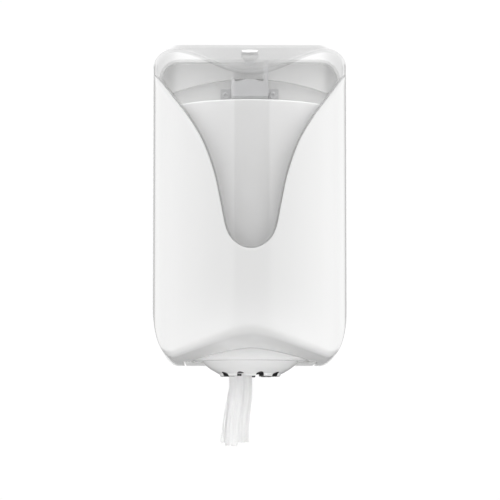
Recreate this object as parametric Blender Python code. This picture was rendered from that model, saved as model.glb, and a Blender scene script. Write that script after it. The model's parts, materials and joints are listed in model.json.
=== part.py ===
# A wall-mounted centrefeed roll dispenser: a housing, a drop-down cover with a smoky window,
# a cam lock, a feed nozzle, and a roll of paper whose tail is pulled down through the nozzle.
# Metres, +Z up. The wall is the plane y = 0, the front faces -Y and z = 0 is at mid-height.
# "Out" below means the distance in front of the wall, and "up" the height above the body's foot.

import math

import bmesh
import bpy
from mathutils import Matrix, Vector

# Clearances and working values
GAP = 0.0003
SWING_GAP = 0.0012
OVERRUN = 0.010
MERGE = 0.000001
SMOOTH_ANGLE = math.radians(32)
COLUMNS = 36
BELLY_STEPS = 7
BELLY_SPACING_POWER = 0.7
BEND_STEPS = 3
FRONT_STEPS = 5
ROOF_STEPS = 3
TONGUE_STEPS = 3
LARGE_STEPS = 64
ROUND_STEPS = 40
SMALL_STEPS = 14
ARC_STEPS = 8
EDGE_STEPS = 4

# Paper roll, with the room that the body leaves around it
ROLL_RADIUS = 0.075
ROLL_HEIGHT = 0.205
ROLL_EDGE = 0.0015
CORE_HOLE_RADIUS = 0.028
ROLL_SIDE_ROOM = 0.015
ROLL_REAR_ROOM = 0.010
ROLL_FRONT_ROOM = 0.015
ROLL_HEAD_ROOM = 0.073

# Deck that the roll stands on
DECK_UP = 0.0237
DECK = 0.004
DECK_REACH = 0.006
FEED_LEDGE = 0.004
FEED_HOLE_RADIUS = CORE_HOLE_RADIUS - FEED_LEDGE

# Body, as the closed cover shows it
NOZZLE_OUT = ROLL_RADIUS + ROLL_REAR_ROOM
BODY_WIDTH = 2 * (ROLL_RADIUS + ROLL_SIDE_ROOM)
BODY_DEPTH = NOZZLE_OUT + ROLL_RADIUS + ROLL_FRONT_ROOM
BODY_HEIGHT = DECK_UP + GAP + ROLL_HEIGHT + ROLL_HEAD_ROOM
PLAN_POWER = 2.4
WALL = 0.0025
REAR_GAP = 0.001
TOP_CORNER_RADIUS = 0.025
TOP_SLOPE_CENTRE = 0.286
TOP_SLOPE_SIDE = 0.182
SLOPE_BLEND_WIDTH = 0.067
LOW_CORNER_WIDTH = 0.0245
LOW_CORNER_HEIGHT = 0.062
BELLY_RISE = 0.0255
BELLY_POWER = 3.3
BELLY_EDGE_POWERS = (1.5, 1.7)
TOP_FILLET = 0.0035
LOW_FILLET = 0.007
FILLET_SHARE = 0.3

# Window tongue: share of the half-width, share of the height, from its tip to the body's side
TONGUE_SHARES = (
    (0.000, 0.3215), (0.088, 0.3291), (0.179, 0.3467), (0.242, 0.3821), (0.291, 0.4526),
    (0.356, 0.5407), (0.464, 0.6315), (0.611, 0.7096), (0.806, 0.7960), (1.000, 0.8907),
    (1.150, 0.9650),
)
WINDOW_GAP = 0.0004
FLANGE_REACH = 0.005
FLANGE_ROOT = 0.002
FLANGE_INSET = 0.0043
ROOT_INSET = 0.0020

# Back housing
HOUSING_SIDE_GAP = 0.003
HOUSING_HALF_WIDTH = BODY_WIDTH / 2 - WALL - HOUSING_SIDE_GAP
HOUSING_TOP_GAP = 0.017
HOUSING_TOP_UP = BODY_HEIGHT - HOUSING_TOP_GAP
HOUSING_CORNER_STEP = 0.005
HOUSING_CORNER = TOP_CORNER_RADIUS - HOUSING_CORNER_STEP
HOUSING_FOOT_UP = 0.020
HOUSING_RIM_DEPTH = 0.022
HOUSING_WALL = 0.0025
PLATE = 0.003
PANEL_OUT = 0.009
PANEL_HEIGHT = 0.0165
PANEL_MARGIN = 0.006
ARCH_RISE = 0.0185
ARCH_TOP_UP = HOUSING_TOP_UP - PANEL_HEIGHT
ARCH_RADIUS = (HOUSING_HALF_WIDTH ** 2 + ARCH_RISE ** 2) / (2 * ARCH_RISE)
WALL_SLOT_RADIUS = 0.00275
WALL_SLOT_LENGTH = 0.011
WALL_SLOT_EDGE = 0.0295
WALL_SLOT_X = HOUSING_HALF_WIDTH - WALL_SLOT_EDGE
LOW_SLOT_UP = 0.070
HIGH_SLOT_DROP = 0.060
HIGH_SLOT_UP = HOUSING_TOP_UP - HIGH_SLOT_DROP

# Hinge between the base's side webs and the cover's ears
PIN_RADIUS = 0.0020
PIN_HEAD_RADIUS = 0.0036
PIN_HEAD = 0.0018
PIN_ROOM = 0.0006
WALL_CLEARANCE = 0.0007
HINGE_OUT = PLATE + GAP + WALL + PIN_HEAD_RADIUS + PIN_ROOM
HINGE_UP = HINGE_OUT - WALL_CLEARANCE
EAR_RADIUS = 0.0055
EAR_THICKNESS = 0.0040
EAR_REACH = 0.014
NOTCH_OUT = 0.007

# Cover's bottom cut-out and the base that fills it
CUTOUT_SIDE = 0.030
CUTOUT_HALF_WIDTH = BODY_WIDTH / 2 - CUTOUT_SIDE
CUTOUT_REACH = 0.003
CUTOUT_OUT = NOZZLE_OUT + CUTOUT_REACH
NOZZLE_GAP = 0.001
DECK_RADIUS = CUTOUT_HALF_WIDTH + DECK_REACH
SHELF_FLANGE_SIDE = 0.010
SHELF_FLANGE_HALF_WIDTH = CUTOUT_HALF_WIDTH - SHELF_FLANGE_SIDE
SHELF_FLANGE_UP = 0.042
SHELF_SCREW_SIDE = 0.010
SHELF_SCREW_X = SHELF_FLANGE_HALF_WIDTH - SHELF_SCREW_SIDE
LOW_SCREW_UP = 0.012
HIGH_SCREW_DROP = 0.009
HIGH_SCREW_UP = SHELF_FLANGE_UP - HIGH_SCREW_DROP

# Nozzle
COLLAR_RADIUS = 0.0515
COLLAR_FOOT_UP = 0.0012
COLLAR_EDGE = 0.003
COLLAR_WALL = 0.0025
COLLAR_LEDGE = 0.0027
COLLAR_LEDGE_REACH = 0.0084
CUP_LIP = 0.0024
CUP_NECK_RADIUS = COLLAR_RADIUS - COLLAR_LEDGE_REACH
CUP_LIP_RADIUS = CUP_NECK_RADIUS + CUP_LIP
CUP_WALL = 0.002
CUP_LIP_LOW = COLLAR_FOOT_UP + COLLAR_LEDGE + GAP
CUP_LIP_TOP = CUP_LIP_LOW + CUP_WALL
CUP_DROP = 0.012
CUP_BOWL_SHARES = (
    (0.991, 1.067), (0.935, 0.858), (0.842, 0.583), (0.724, 0.325), (0.650, 0.183),
    (0.626, 0.033), (0.603, 0.000),
)
CUP_INNER_SHARES = (
    (0.580, 0.183), (0.691, 0.475), (0.812, 0.733), (0.900, 1.000), (0.942, 1.167),
)
LOBES = 10
LOBE_CENTRE_SHARE = 0.487
LOBE_LENGTH_SHARE = 0.232
LOBE_WIDTH_SHARE = 0.107
TEETH_SHARE = 0.348
LOBE_CENTRE_RADIUS = CUP_NECK_RADIUS * LOBE_CENTRE_SHARE
LOBE_LENGTH = CUP_NECK_RADIUS * LOBE_LENGTH_SHARE
LOBE_HALF_WIDTH = CUP_NECK_RADIUS * LOBE_WIDTH_SHARE
TEETH_RADIUS = CUP_NECK_RADIUS * TEETH_SHARE
MOUTH_RADIUS = LOBE_CENTRE_RADIUS + LOBE_LENGTH
LINER_THICKNESS = 0.0012
LINER_SHARES = ((0.464, 0.217), (0.585, 0.217), (0.687, 0.508), (0.803, 0.767), (0.858, 0.933))
BOSS_RADIUS = 0.0036
BOSS_ROOM = 0.0012
BOSS_LOW = CUP_LIP_TOP + BOSS_ROOM
BOSS_EDGE = 0.0053
BOSS_CENTRE_RADIUS = COLLAR_RADIUS - BOSS_EDGE
COLLAR_SCREW_ANGLES = (math.radians(90), math.radians(210), math.radians(330))

# Screws
SCREW_RADIUS = 0.0019
SCREW_HEAD_RADIUS = 0.0036
SCREW_HEAD = 0.0020
SCREW_CROWN_SHARE = 0.8
RECESS_DEPTH = 0.0011
RECESS_LENGTH = 0.0038
RECESS_WIDTH = 0.0008
SCREW_TIP_ROOM = 0.0023
COLLAR_SCREW_LENGTH = DECK_UP - SCREW_HEAD - BOSS_LOW - SCREW_TIP_ROOM

# Cam lock, square to the top face and sunk flush in it, short enough to swing over the roll
LOCK_OUT = 0.042
LOCK_TILT = math.atan(TOP_SLOPE_CENTRE)
LOCK_SINK = 0.0002
LOCK_FLANGE_RADIUS = 0.0080
LOCK_FLANGE = 0.0010
BARREL_RADIUS = 0.0065
BARREL_LENGTH = 0.008
CORE_RADIUS = 0.0045
CORE_END = 0.0010
KEYWAY_WIDTH = 0.0010
KEYWAY_LENGTH = 0.0060
KEYWAY_DEPTH = 0.0015
NUT_RADIUS = 0.0095
NUT_THICKNESS = 0.003
NUT_SIDES = 6
CAM_THICKNESS = 0.002
CAM_HUB_RADIUS = 0.0050
CAM_WIDTH = 0.008
CAM_LENGTH = 0.0165
CAM_SCREW_LENGTH = 0.006
CAM_DEPTH = BARREL_LENGTH + CORE_END + GAP + CAM_THICKNESS / 2
CAM_OUT = LOCK_OUT - CAM_DEPTH * math.sin(LOCK_TILT)
CAM_UP = BODY_HEIGHT - TOP_SLOPE_CENTRE * LOCK_OUT - CAM_DEPTH * math.cos(LOCK_TILT)

# Striker bracket: a channel with an arched front plate, and a lip that rises to the cam's right
STRIKER_WIDTH = 0.034
STRIKER_DROP = 0.033
STRIKER_UP = CAM_UP - STRIKER_DROP
STRIKER_HEIGHT = 0.017
STRIKER_WALL = 0.0025
LIP_THICKNESS = 0.003
LIP_CLEARANCE = 0.001
STRIKER_OUT = CAM_OUT + CAM_WIDTH / 2 + LIP_CLEARANCE + LIP_THICKNESS
LIP_WIDTH = 0.0045
LIP_OVERLAP = 0.0005
STRIKER_ARCH_HALF_WIDTH = 0.011
STRIKER_ARCH_RADIUS = 0.025
STRIKER_ARCH_DROP = 0.001
STRIKER_FLANGE_SIDE = 0.010
STRIKER_FLANGE_WIDTH = STRIKER_WIDTH + 2 * STRIKER_FLANGE_SIDE
STRIKER_FLANGE_HEIGHT = 0.012
STRIKER_SCREW_EDGE = 0.005
STRIKER_SCREW_X = STRIKER_FLANGE_WIDTH / 2 - STRIKER_SCREW_EDGE

# Paper tail: shares of how far it rises or drops, then centre, width, fold depth and lean, as
# shares of the radius of what it passes through: the roll's core, the feed hole and the mouth
TAIL_RISE = 0.075
TAIL_DROP = 0.074
TAIL_THICKNESS = 0.0016
TAIL_STATIONS = 56
TAIL_FOLDS = 3.5
FOLD_FADE_POWER = 0.3
TAIL_CORE_SHARES = ((1.000, -0.732, 0.393, 0.079, 0.0), (0.667, -0.661, 0.464, 0.086, 0.0))
TAIL_FEED_SHARES = ((1.013, -0.542, 0.667, 0.108, 0.0),)
TAIL_MOUTH_SHARES = (
    (0.027, -0.323, 0.613, 0.084, 0.000), (-0.162, -0.284, 0.661, 0.084, 0.000),
    (-0.284, -0.277, 0.671, 0.097, 0.000), (-0.432, -0.316, 0.716, 0.110, -0.032),
    (-0.676, -0.394, 0.768, 0.123, -0.065), (-0.878, -0.432, 0.800, 0.135, -0.065),
    (-1.000, -0.445, 0.813, 0.142, -0.065),
)

FOOT_Z = -BODY_HEIGHT / 2
TOP_Z = BODY_HEIGHT / 2
HINGE_POINT = Vector((0, -HINGE_OUT, FOOT_Z + HINGE_UP))
NOZZLE_POINT = Vector((0, -NOZZLE_OUT, FOOT_Z))
LOCK_POINT = Vector((0, -LOCK_OUT, TOP_Z - TOP_SLOPE_CENTRE * LOCK_OUT))


def clear_scene():
    for item in list(bpy.data.objects):
        bpy.data.objects.remove(item, do_unlink=True)


def plastic(name, colour, roughness, metallic=0.0, alpha=1.0):
    material = bpy.data.materials.new(name)
    material.use_nodes = True
    shader = material.node_tree.nodes["Principled BSDF"]
    shader.inputs["Base Color"].default_value = (*colour, 1.0)
    shader.inputs["Roughness"].default_value = roughness
    shader.inputs["Metallic"].default_value = metallic
    shader.inputs["Alpha"].default_value = alpha
    return material


def make_materials():
    return {
        "white_gloss": plastic("white_gloss", (0.90, 0.90, 0.90), 0.12),
        "smoky_clear": plastic("smoky_clear", (0.62, 0.63, 0.64), 0.05, alpha=0.45),
        "white_satin": plastic("white_satin", (0.86, 0.86, 0.86), 0.35),
        "black_matte": plastic("black_matte", (0.02, 0.02, 0.02), 0.6),
        "grey_plastic": plastic("grey_plastic", (0.66, 0.66, 0.67), 0.4),
        "bright_steel": plastic("bright_steel", (0.70, 0.70, 0.72), 0.25, metallic=1.0),
        "white_paper": plastic("white_paper", (0.93, 0.93, 0.93), 0.95),
    }


def new_object(name, bm, material=None, parent=None, keep_place=True):
    """Puts a bmesh in the scene. With keep_place the mesh is in world terms under its parent."""
    mesh = bpy.data.meshes.new(name)
    bm.to_mesh(mesh)
    bm.free()
    mesh.shade_smooth()
    mesh.set_sharp_from_angle(angle=SMOOTH_ANGLE)
    item = bpy.data.objects.new(name, mesh)
    bpy.context.scene.collection.objects.link(item)
    if material:
        mesh.materials.append(material)
    if parent:
        item.parent = parent
        if keep_place:
            item.matrix_parent_inverse = parent.matrix_world.inverted()
    return item


def as_cutter(item):
    item.hide_render = True
    item.display_type = "WIRE"
    return item


def combine(item, other, operation):
    modifier = item.modifiers.new(other.name, "BOOLEAN")
    modifier.operation = operation
    modifier.solver = "EXACT"
    modifier.object = other
    as_cutter(other)


def cut(item, *others):
    for other in others:
        combine(item, other, "DIFFERENCE")


def join(item, *others):
    for other in others:
        combine(item, other, "UNION")


def box(name, low, high, **place):
    bm = bmesh.new()
    bmesh.ops.create_cube(bm, size=1.0)
    low, high = Vector(low), Vector(high)
    bmesh.ops.scale(bm, verts=bm.verts, vec=high - low)
    bmesh.ops.translate(bm, verts=bm.verts, vec=(high + low) / 2)
    return new_object(name, bm, **place)


def room(name, half_width, back, front, low, high, **place):
    """A box across the centre: half-width, its out distances and its up heights."""
    return box(
        name, (-half_width, -front, FOOT_Z + low), (half_width, -back, FOOT_Z + high), **place
    )


def side_box(name, side, inner, outer, back, front, low, high, **place):
    ends = sorted((side * inner, side * outer))
    return box(
        name, (ends[0], -front, FOOT_Z + low), (ends[1], -back, FOOT_Z + high), **place
    )


def turned(name, profile, steps, centre=(0, 0, 0), **place):
    """Turns a closed outline of (radius, height) points about a vertical axis at centre."""
    bm = bmesh.new()
    verts = [bm.verts.new((radius, 0, height)) for radius, height in profile]
    edges = [bm.edges.new((a, b)) for a, b in zip(verts, verts[1:] + verts[:1])]
    bmesh.ops.spin(
        bm, geom=verts + edges, cent=(0, 0, 0), axis=(0, 0, 1), angle=math.tau, steps=steps,
        use_merge=True, use_duplicate=False,
    )
    bmesh.ops.remove_doubles(bm, verts=bm.verts, dist=MERGE)
    loose = [edge for edge in bm.edges if not edge.link_faces]
    bmesh.ops.delete(bm, geom=loose, context="EDGES")
    bmesh.ops.recalc_face_normals(bm, faces=bm.faces)
    bmesh.ops.translate(bm, verts=bm.verts, vec=centre)
    return new_object(name, bm, **place)


def disc(name, radius, low, high, steps, centre=(0, 0, 0), **place):
    """A cylinder about a vertical axis at centre, between two heights above it."""
    bm = bmesh.new()
    bmesh.ops.create_cone(
        bm, cap_ends=True, segments=steps, radius1=radius, radius2=radius, depth=high - low
    )
    bmesh.ops.translate(bm, verts=bm.verts, vec=Vector(centre) + Vector((0, 0, (low + high) / 2)))
    return new_object(name, bm, **place)


def prism(name, outline, back, front, **place):
    """Extrudes an outline of (x, z) points forward from the wall, between two out distances."""
    bm = bmesh.new()
    verts = [bm.verts.new((x, -back, z)) for x, z in outline]
    face = bm.faces.new(verts)
    made = bmesh.ops.extrude_face_region(bm, geom=[face])["geom"]
    moved = [part for part in made if isinstance(part, bmesh.types.BMVert)]
    bmesh.ops.translate(bm, verts=moved, vec=(0, back - front, 0))
    bmesh.ops.recalc_face_normals(bm, faces=bm.faces)
    return new_object(name, bm, **place)


def turn_onto(item, matrix):
    """Moves an object's mesh by a matrix, for pieces that are made upright and then laid down."""
    item.data.transform(matrix)
    return item


def side_prism(name, outline, low_x, high_x, **place):
    """Extrudes an outline of (out, up) points across the body, between two x places."""
    bm = bmesh.new()
    verts = [bm.verts.new((low_x, -out, FOOT_Z + up)) for out, up in outline]
    face = bm.faces.new(verts)
    made = bmesh.ops.extrude_face_region(bm, geom=[face])["geom"]
    moved = [part for part in made if isinstance(part, bmesh.types.BMVert)]
    bmesh.ops.translate(bm, verts=moved, vec=(high_x - low_x, 0, 0))
    bmesh.ops.recalc_face_normals(bm, faces=bm.faces)
    return new_object(name, bm, **place)


def level_prism(name, outline, low, high, base=(0, 0, 0), **place):
    """Extrudes an outline of (x, y) points upward, between two heights above base."""
    bm = bmesh.new()
    verts = [bm.verts.new(Vector(base) + Vector((x, y, low))) for x, y in outline]
    face = bm.faces.new(verts)
    made = bmesh.ops.extrude_face_region(bm, geom=[face])["geom"]
    moved = [part for part in made if isinstance(part, bmesh.types.BMVert)]
    bmesh.ops.translate(bm, verts=moved, vec=(0, 0, high - low))
    bmesh.ops.recalc_face_normals(bm, faces=bm.faces)
    return new_object(name, bm, **place)


def arc(centre, radii, start, end, steps):
    """Points along a quarter or other stretch of an ellipse, both ends included."""
    angles = [math.radians(start + (end - start) * k / steps) for k in range(steps + 1)]
    return [
        (centre[0] + radii[0] * math.cos(angle), centre[1] + radii[1] * math.sin(angle))
        for angle in angles
    ]


def mirrored(half):
    """Closes a right-hand half outline with its mirror image."""
    return half + [(-x, z) for x, z in reversed(half) if x > MERGE]


# The body's surface: a superellipse in plan, with a ruled top and a swept-up belly


def plan_depth(x):
    share = min(abs(x) / (BODY_WIDTH / 2), 1.0)
    return BODY_DEPTH * (1 - share ** PLAN_POWER) ** (1 / PLAN_POWER)


def top_height(x, out, inset):
    blend = (1 - min(abs(x) / SLOPE_BLEND_WIDTH, 1.0) ** 2) ** 2
    slope = TOP_SLOPE_SIDE + (TOP_SLOPE_CENTRE - TOP_SLOPE_SIDE) * blend
    over = max(abs(x) - (BODY_WIDTH / 2 - TOP_CORNER_RADIUS), 0)
    radius = TOP_CORNER_RADIUS - inset
    drop = radius - math.sqrt(max(radius ** 2 - over ** 2, 0))
    return TOP_Z - inset - slope * out - drop


def belly_height(x, out, inset):
    edge_power, fall_power = BELLY_EDGE_POWERS
    rise = BELLY_RISE * (1 - min(abs(x) / (BODY_WIDTH / 2), 1.0) ** edge_power) ** fall_power
    depth = plan_depth(x)
    sweep = min(max(out, 0) / depth, 1.0) ** BELLY_POWER if depth > MERGE else 1.0
    over = max(abs(x) - (BODY_WIDTH / 2 - LOW_CORNER_WIDTH), 0) / (LOW_CORNER_WIDTH - inset)
    corner = (LOW_CORNER_HEIGHT - inset) * (1 - math.sqrt(max(1 - over ** 2, 0)))
    return FOOT_Z + inset + rise * sweep + corner


def bend(before, corner, after, steps):
    """Points of a soft corner between two points, leaving out the first."""
    points = []
    for k in range(1, steps + 1):
        share = k / steps
        first = before.lerp(corner, share)
        points.append(first.lerp(corner.lerp(after, share), share))
    return points


def body_column(angle, inset, rear):
    """One slice of the body's skin: along the belly, up the front and back along the top."""
    half, depth = BODY_WIDTH / 2 - inset, BODY_DEPTH - inset
    power = 2 / PLAN_POWER
    x = math.copysign(half * abs(math.cos(angle)) ** power, math.cos(angle))
    edge = math.sin(angle) < MERGE
    out = rear if edge else depth * math.sin(angle) ** power
    low_reach = min(LOW_FILLET, FILLET_SHARE * (out - rear))
    top_reach = min(TOP_FILLET, FILLET_SHARE * (out - rear))

    def belly(at):
        return Vector((x, -at, belly_height(x, at, inset)))

    def roof(at):
        return Vector((x, -at, top_height(x, at, inset)))

    belly_end, roof_start = out - low_reach, out - top_reach
    points = []
    for k in range(BELLY_STEPS + 1):
        points.append(belly(rear + (belly_end - rear) * (k / BELLY_STEPS) ** BELLY_SPACING_POWER))
    front_low = belly(out) + Vector((0, 0, low_reach))
    front_high = roof(out) - Vector((0, 0, top_reach))
    points += bend(belly(belly_end), belly(out), front_low, BEND_STEPS)
    points += [front_low.lerp(front_high, k / FRONT_STEPS) for k in range(1, FRONT_STEPS + 1)]
    points += bend(front_high, roof(out), roof(roof_start), BEND_STEPS)
    points += [roof(roof_start).lerp(roof(rear), k / ROOF_STEPS) for k in range(1, ROOF_STEPS + 1)]
    return points


def body_solid(name, inset, rear, **place):
    """The body's skin, set in by a distance, closed flat at the rear."""
    columns = [body_column(math.pi * k / COLUMNS, inset, rear) for k in range(COLUMNS + 1)]
    steps = len(columns[0]) - 1
    bm = bmesh.new()
    bmesh.ops.create_grid(bm, x_segments=COLUMNS, y_segments=steps, size=1.0)
    for vert in bm.verts:
        column = round((vert.co.x + 1) / 2 * COLUMNS)
        step = round((vert.co.y + 1) / 2 * steps)
        vert.co = columns[column][step]
    bmesh.ops.remove_doubles(bm, verts=bm.verts, dist=MERGE)
    rim = [edge for edge in bm.edges if edge.is_boundary]
    bmesh.ops.contextual_create(bm, geom=rim)
    bmesh.ops.recalc_face_normals(bm, faces=bm.faces)
    return new_object(name, bm, **place)


def smooth_through(points, steps):
    """A smooth open line through its points."""
    line = []
    padded = [points[0]] + points + [points[-1]]
    for before, start, end, after in zip(padded, padded[1:], padded[2:], padded[3:]):
        for k in range(steps):
            s = k / steps
            line.append(
                0.5 * (
                    2 * start + (end - before) * s
                    + (2 * before - 5 * start + 4 * end - after) * s ** 2
                    + (3 * start - before - 3 * end + after) * s ** 3
                )
            )
    return line + [points[-1]]


def tongue_line(grow):
    """The window's lower edge in front view, left to right, moved outwards by a distance."""
    right = [
        Vector((BODY_WIDTH / 2 * across, FOOT_Z + BODY_HEIGHT * up))
        for across, up in TONGUE_SHARES
    ]
    left = [Vector((-point.x, point.y)) for point in reversed(right[1:])]
    line = smooth_through(left + right, TONGUE_STEPS)
    moved = []
    for k, point in enumerate(line):
        along = line[min(k + 1, len(line) - 1)] - line[max(k - 1, 0)]
        moved.append(point + grow * Vector((along.y, -along.x)).normalized())
    return moved


def tongue_prism(name, grow):
    line = [(point.x, point.y) for point in tongue_line(grow)]
    top = TOP_Z + OVERRUN
    outline = line + [(line[-1][0], top), (line[0][0], top)]
    return as_cutter(prism(name, outline, -OVERRUN - REAR_GAP, BODY_DEPTH + OVERRUN))


def make_window(materials, axis, lock_axis):
    window = body_solid("window", 0, REAR_GAP, material=materials["smoky_clear"], parent=axis)
    cut(window, body_solid("window_hollow", WALL, -OVERRUN, parent=axis))
    combine(window, tongue_prism("tongue_form", 0), "INTERSECT")
    root = body_solid("flange_root", ROOT_INSET, REAR_GAP, parent=axis)
    cut(root, body_solid("root_hollow", FLANGE_INSET - GAP, -OVERRUN, parent=axis))
    combine(root, tongue_prism("root_form", -GAP), "INTERSECT")
    cut(root, tongue_prism("root_middle", -FLANGE_ROOT))
    flange = body_solid("flange_form", WALL + GAP, REAR_GAP, parent=axis)
    cut(flange, body_solid("flange_hollow", FLANGE_INSET, -OVERRUN, parent=axis))
    combine(flange, tongue_prism("flange_outer", FLANGE_REACH), "INTERSECT")
    cut(flange, tongue_prism("flange_middle", -FLANGE_ROOT / 2))
    join(window, root, flange)
    place = {"parent": lock_axis, "keep_place": False}
    cut(window, disc("lock_hole", BARREL_RADIUS + GAP, -OVERRUN, OVERRUN, ROUND_STEPS, **place))
    cut(window, disc(
        "lock_sink", LOCK_FLANGE_RADIUS + GAP, -LOCK_SINK - LOCK_FLANGE - GAP, OVERRUN, ROUND_STEPS,
        **place,
    ))
    return window


def ear_outline():
    """The hinge ear from the side: round about the pin, with its foot on the cover's floor."""
    round_part = arc((HINGE_OUT, HINGE_UP), (-EAR_RADIUS, EAR_RADIUS), 90, -90, ARC_STEPS)
    foot, top = WALL / 2, HINGE_UP + EAR_RADIUS
    front = HINGE_OUT + EAR_REACH
    foot_part = [(HINGE_OUT, foot), (front, foot), (front, HINGE_UP), (front - EAR_RADIUS, top)]
    return round_part + foot_part


def pin_bore(name, low_x, high_x):
    bore = disc(name, PIN_RADIUS + GAP, low_x, high_x, SMALL_STEPS)
    across = Matrix.Translation(HINGE_POINT) @ Matrix.Rotation(math.radians(90), 4, "Y")
    return as_cutter(turn_onto(bore, across))


def make_cover(materials, axis):
    cover = body_solid("front_cover", 0, REAR_GAP, material=materials["white_gloss"], parent=axis)
    cut(cover, body_solid("cover_hollow", WALL, -OVERRUN))
    cut(cover, tongue_prism("tongue_opening", WINDOW_GAP))
    cut(cover, room(
        "foot_opening", CUTOUT_HALF_WIDTH, -OVERRUN, CUTOUT_OUT, -OVERRUN, HINGE_UP,
    ))
    cut(cover, disc(
        "nozzle_opening", COLLAR_RADIUS + NOZZLE_GAP, -OVERRUN, BELLY_RISE + OVERRUN, LARGE_STEPS,
        centre=NOZZLE_POINT,
    ))
    inner = CUTOUT_HALF_WIDTH + GAP
    for side, word in ((-1, "left"), (1, "right")):
        cut(cover, side_box(
            "notch_" + word, side, CUTOUT_HALF_WIDTH - OVERRUN, BODY_WIDTH / 2 + OVERRUN,
            -OVERRUN, NOTCH_OUT, -OVERRUN, HINGE_UP,
        ))
    for side, word in ((-1, "left"), (1, "right")):
        ends = sorted((side * inner, side * (inner + EAR_THICKNESS)))
        join(cover, side_prism("ear_" + word, ear_outline(), *ends))
    reach = BODY_WIDTH / 2 - LOW_CORNER_WIDTH / 2
    cut(cover, pin_bore("ear_bore", -reach, reach))
    return cover


def housing_low_corner(inset):
    """The housing's lower right corner, from its foot to its side."""
    start = CUTOUT_HALF_WIDTH
    wide = HOUSING_HALF_WIDTH - start
    tall = LOW_CORNER_HEIGHT - HOUSING_FOOT_UP
    centre = (start, FOOT_Z + LOW_CORNER_HEIGHT)
    return arc(centre, (wide - inset, tall - inset), -90, 0, ARC_STEPS)


def housing_top_corner(inset):
    centre = (HOUSING_HALF_WIDTH - HOUSING_CORNER, FOOT_Z + HOUSING_TOP_UP - HOUSING_CORNER)
    return arc(centre, (HOUSING_CORNER - inset, HOUSING_CORNER - inset), 0, 90, ARC_STEPS)


def arch_line(grow, half_width):
    """The top edge of the roll well, from its right end to its centre."""
    centre_z = FOOT_Z + ARCH_TOP_UP - ARCH_RADIUS
    radius = ARCH_RADIUS + grow
    end = math.degrees(math.acos(half_width / radius))
    return arc((0, centre_z), (radius, radius), end, 90, ARC_STEPS)


def wall_slot(name, x, up, upright):
    reach = WALL_SLOT_LENGTH / 2 - WALL_SLOT_RADIUS
    radii = (WALL_SLOT_RADIUS, WALL_SLOT_RADIUS)
    turn = 90 if upright else 0
    spots = ((0, reach), (0, -reach)) if upright else ((reach, 0), (-reach, 0))
    ends = arc(spots[0], radii, turn - 90, turn + 90, ARC_STEPS)
    ends += arc(spots[1], radii, turn + 90, turn + 270, ARC_STEPS)
    outline = [(x + across, FOOT_Z + up + rise) for across, rise in ends]
    return prism(name, outline, -OVERRUN, OVERRUN)


def screw_hole(name, x, up):
    hole = disc(name, SCREW_RADIUS + GAP, -OVERRUN, OVERRUN, SMALL_STEPS)
    return turn_onto(hole, screw_place(x, up, 0))


def screw_place(x, up, out):
    """Where a screw that points at the wall goes: its head faces the front."""
    spot = Matrix.Translation((x, -out, FOOT_Z + up))
    return spot @ Matrix.Rotation(math.radians(90), 4, "X")


def wall_slot_places():
    """Across and up of each slot for a wall screw, and whether it stands upright."""
    pairs = ((LOW_SLOT_UP, False), (HIGH_SLOT_UP, True))
    return [(side * WALL_SLOT_X, up, upright) for up, upright in pairs for side in (-1, 1)]


def shelf_screw_places():
    return [(side * SHELF_SCREW_X, up) for up in (LOW_SCREW_UP, HIGH_SCREW_UP) for side in (-1, 1)]


def striker_screw_places():
    up = STRIKER_UP + STRIKER_FLANGE_HEIGHT / 2
    return [(side * STRIKER_SCREW_X, up) for side in (-1, 1)]


def make_housing(materials):
    foot = [(CUTOUT_HALF_WIDTH - SWING_GAP, FOOT_Z + REAR_GAP)]
    shoulder = [(CUTOUT_HALF_WIDTH - SWING_GAP, FOOT_Z + HOUSING_FOOT_UP)]
    outline = mirrored(foot + shoulder + housing_low_corner(0) + housing_top_corner(0))
    housing = prism("back_housing", outline, 0, HOUSING_RIM_DEPTH, material=materials["white_satin"])
    front = HOUSING_RIM_DEPTH + OVERRUN
    tray = mirrored(housing_low_corner(HOUSING_WALL) + housing_top_corner(HOUSING_WALL))
    cut(housing, prism("tray_form", tray, PANEL_OUT, front))
    well_inset = HOUSING_WALL + GAP
    well = housing_low_corner(well_inset) + arch_line(0, HOUSING_HALF_WIDTH - well_inset)
    cut(housing, prism("well_form", mirrored(well), PLATE, front))
    pocket = list(reversed(arch_line(PANEL_MARGIN, HOUSING_HALF_WIDTH - PANEL_MARGIN)))
    pocket += housing_top_corner(PANEL_MARGIN)
    cut(housing, prism("panel_pocket", mirrored(pocket), -OVERRUN, PANEL_OUT - HOUSING_WALL))
    cut(housing, room(
        "foot_clearance", CUTOUT_HALF_WIDTH, PLATE, front, -OVERRUN, DECK_UP + GAP,
    ))
    for k, (x, up, upright) in enumerate(wall_slot_places()):
        cut(housing, wall_slot("wall_slot_" + str(k + 1), x, up, upright))
    for k, (x, up) in enumerate(shelf_screw_places() + striker_screw_places()):
        cut(housing, screw_hole("plate_hole_" + str(k + 1), x, up))
    return housing


def deck_outline():
    half = CUTOUT_HALF_WIDTH - SWING_GAP
    back = -(PLATE + 2 * GAP)
    meet = math.degrees(math.acos(half / DECK_RADIUS))
    front = arc((0, -NOZZLE_OUT), (DECK_RADIUS, -DECK_RADIUS), -meet, 180 + meet, ROUND_STEPS)
    return [(-half, back), (half, back)] + front


def collar_screw_spot(angle):
    x = BOSS_CENTRE_RADIUS * math.cos(angle)
    y = BOSS_CENTRE_RADIUS * math.sin(angle)
    return NOZZLE_POINT + Vector((x, y, 0))


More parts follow.
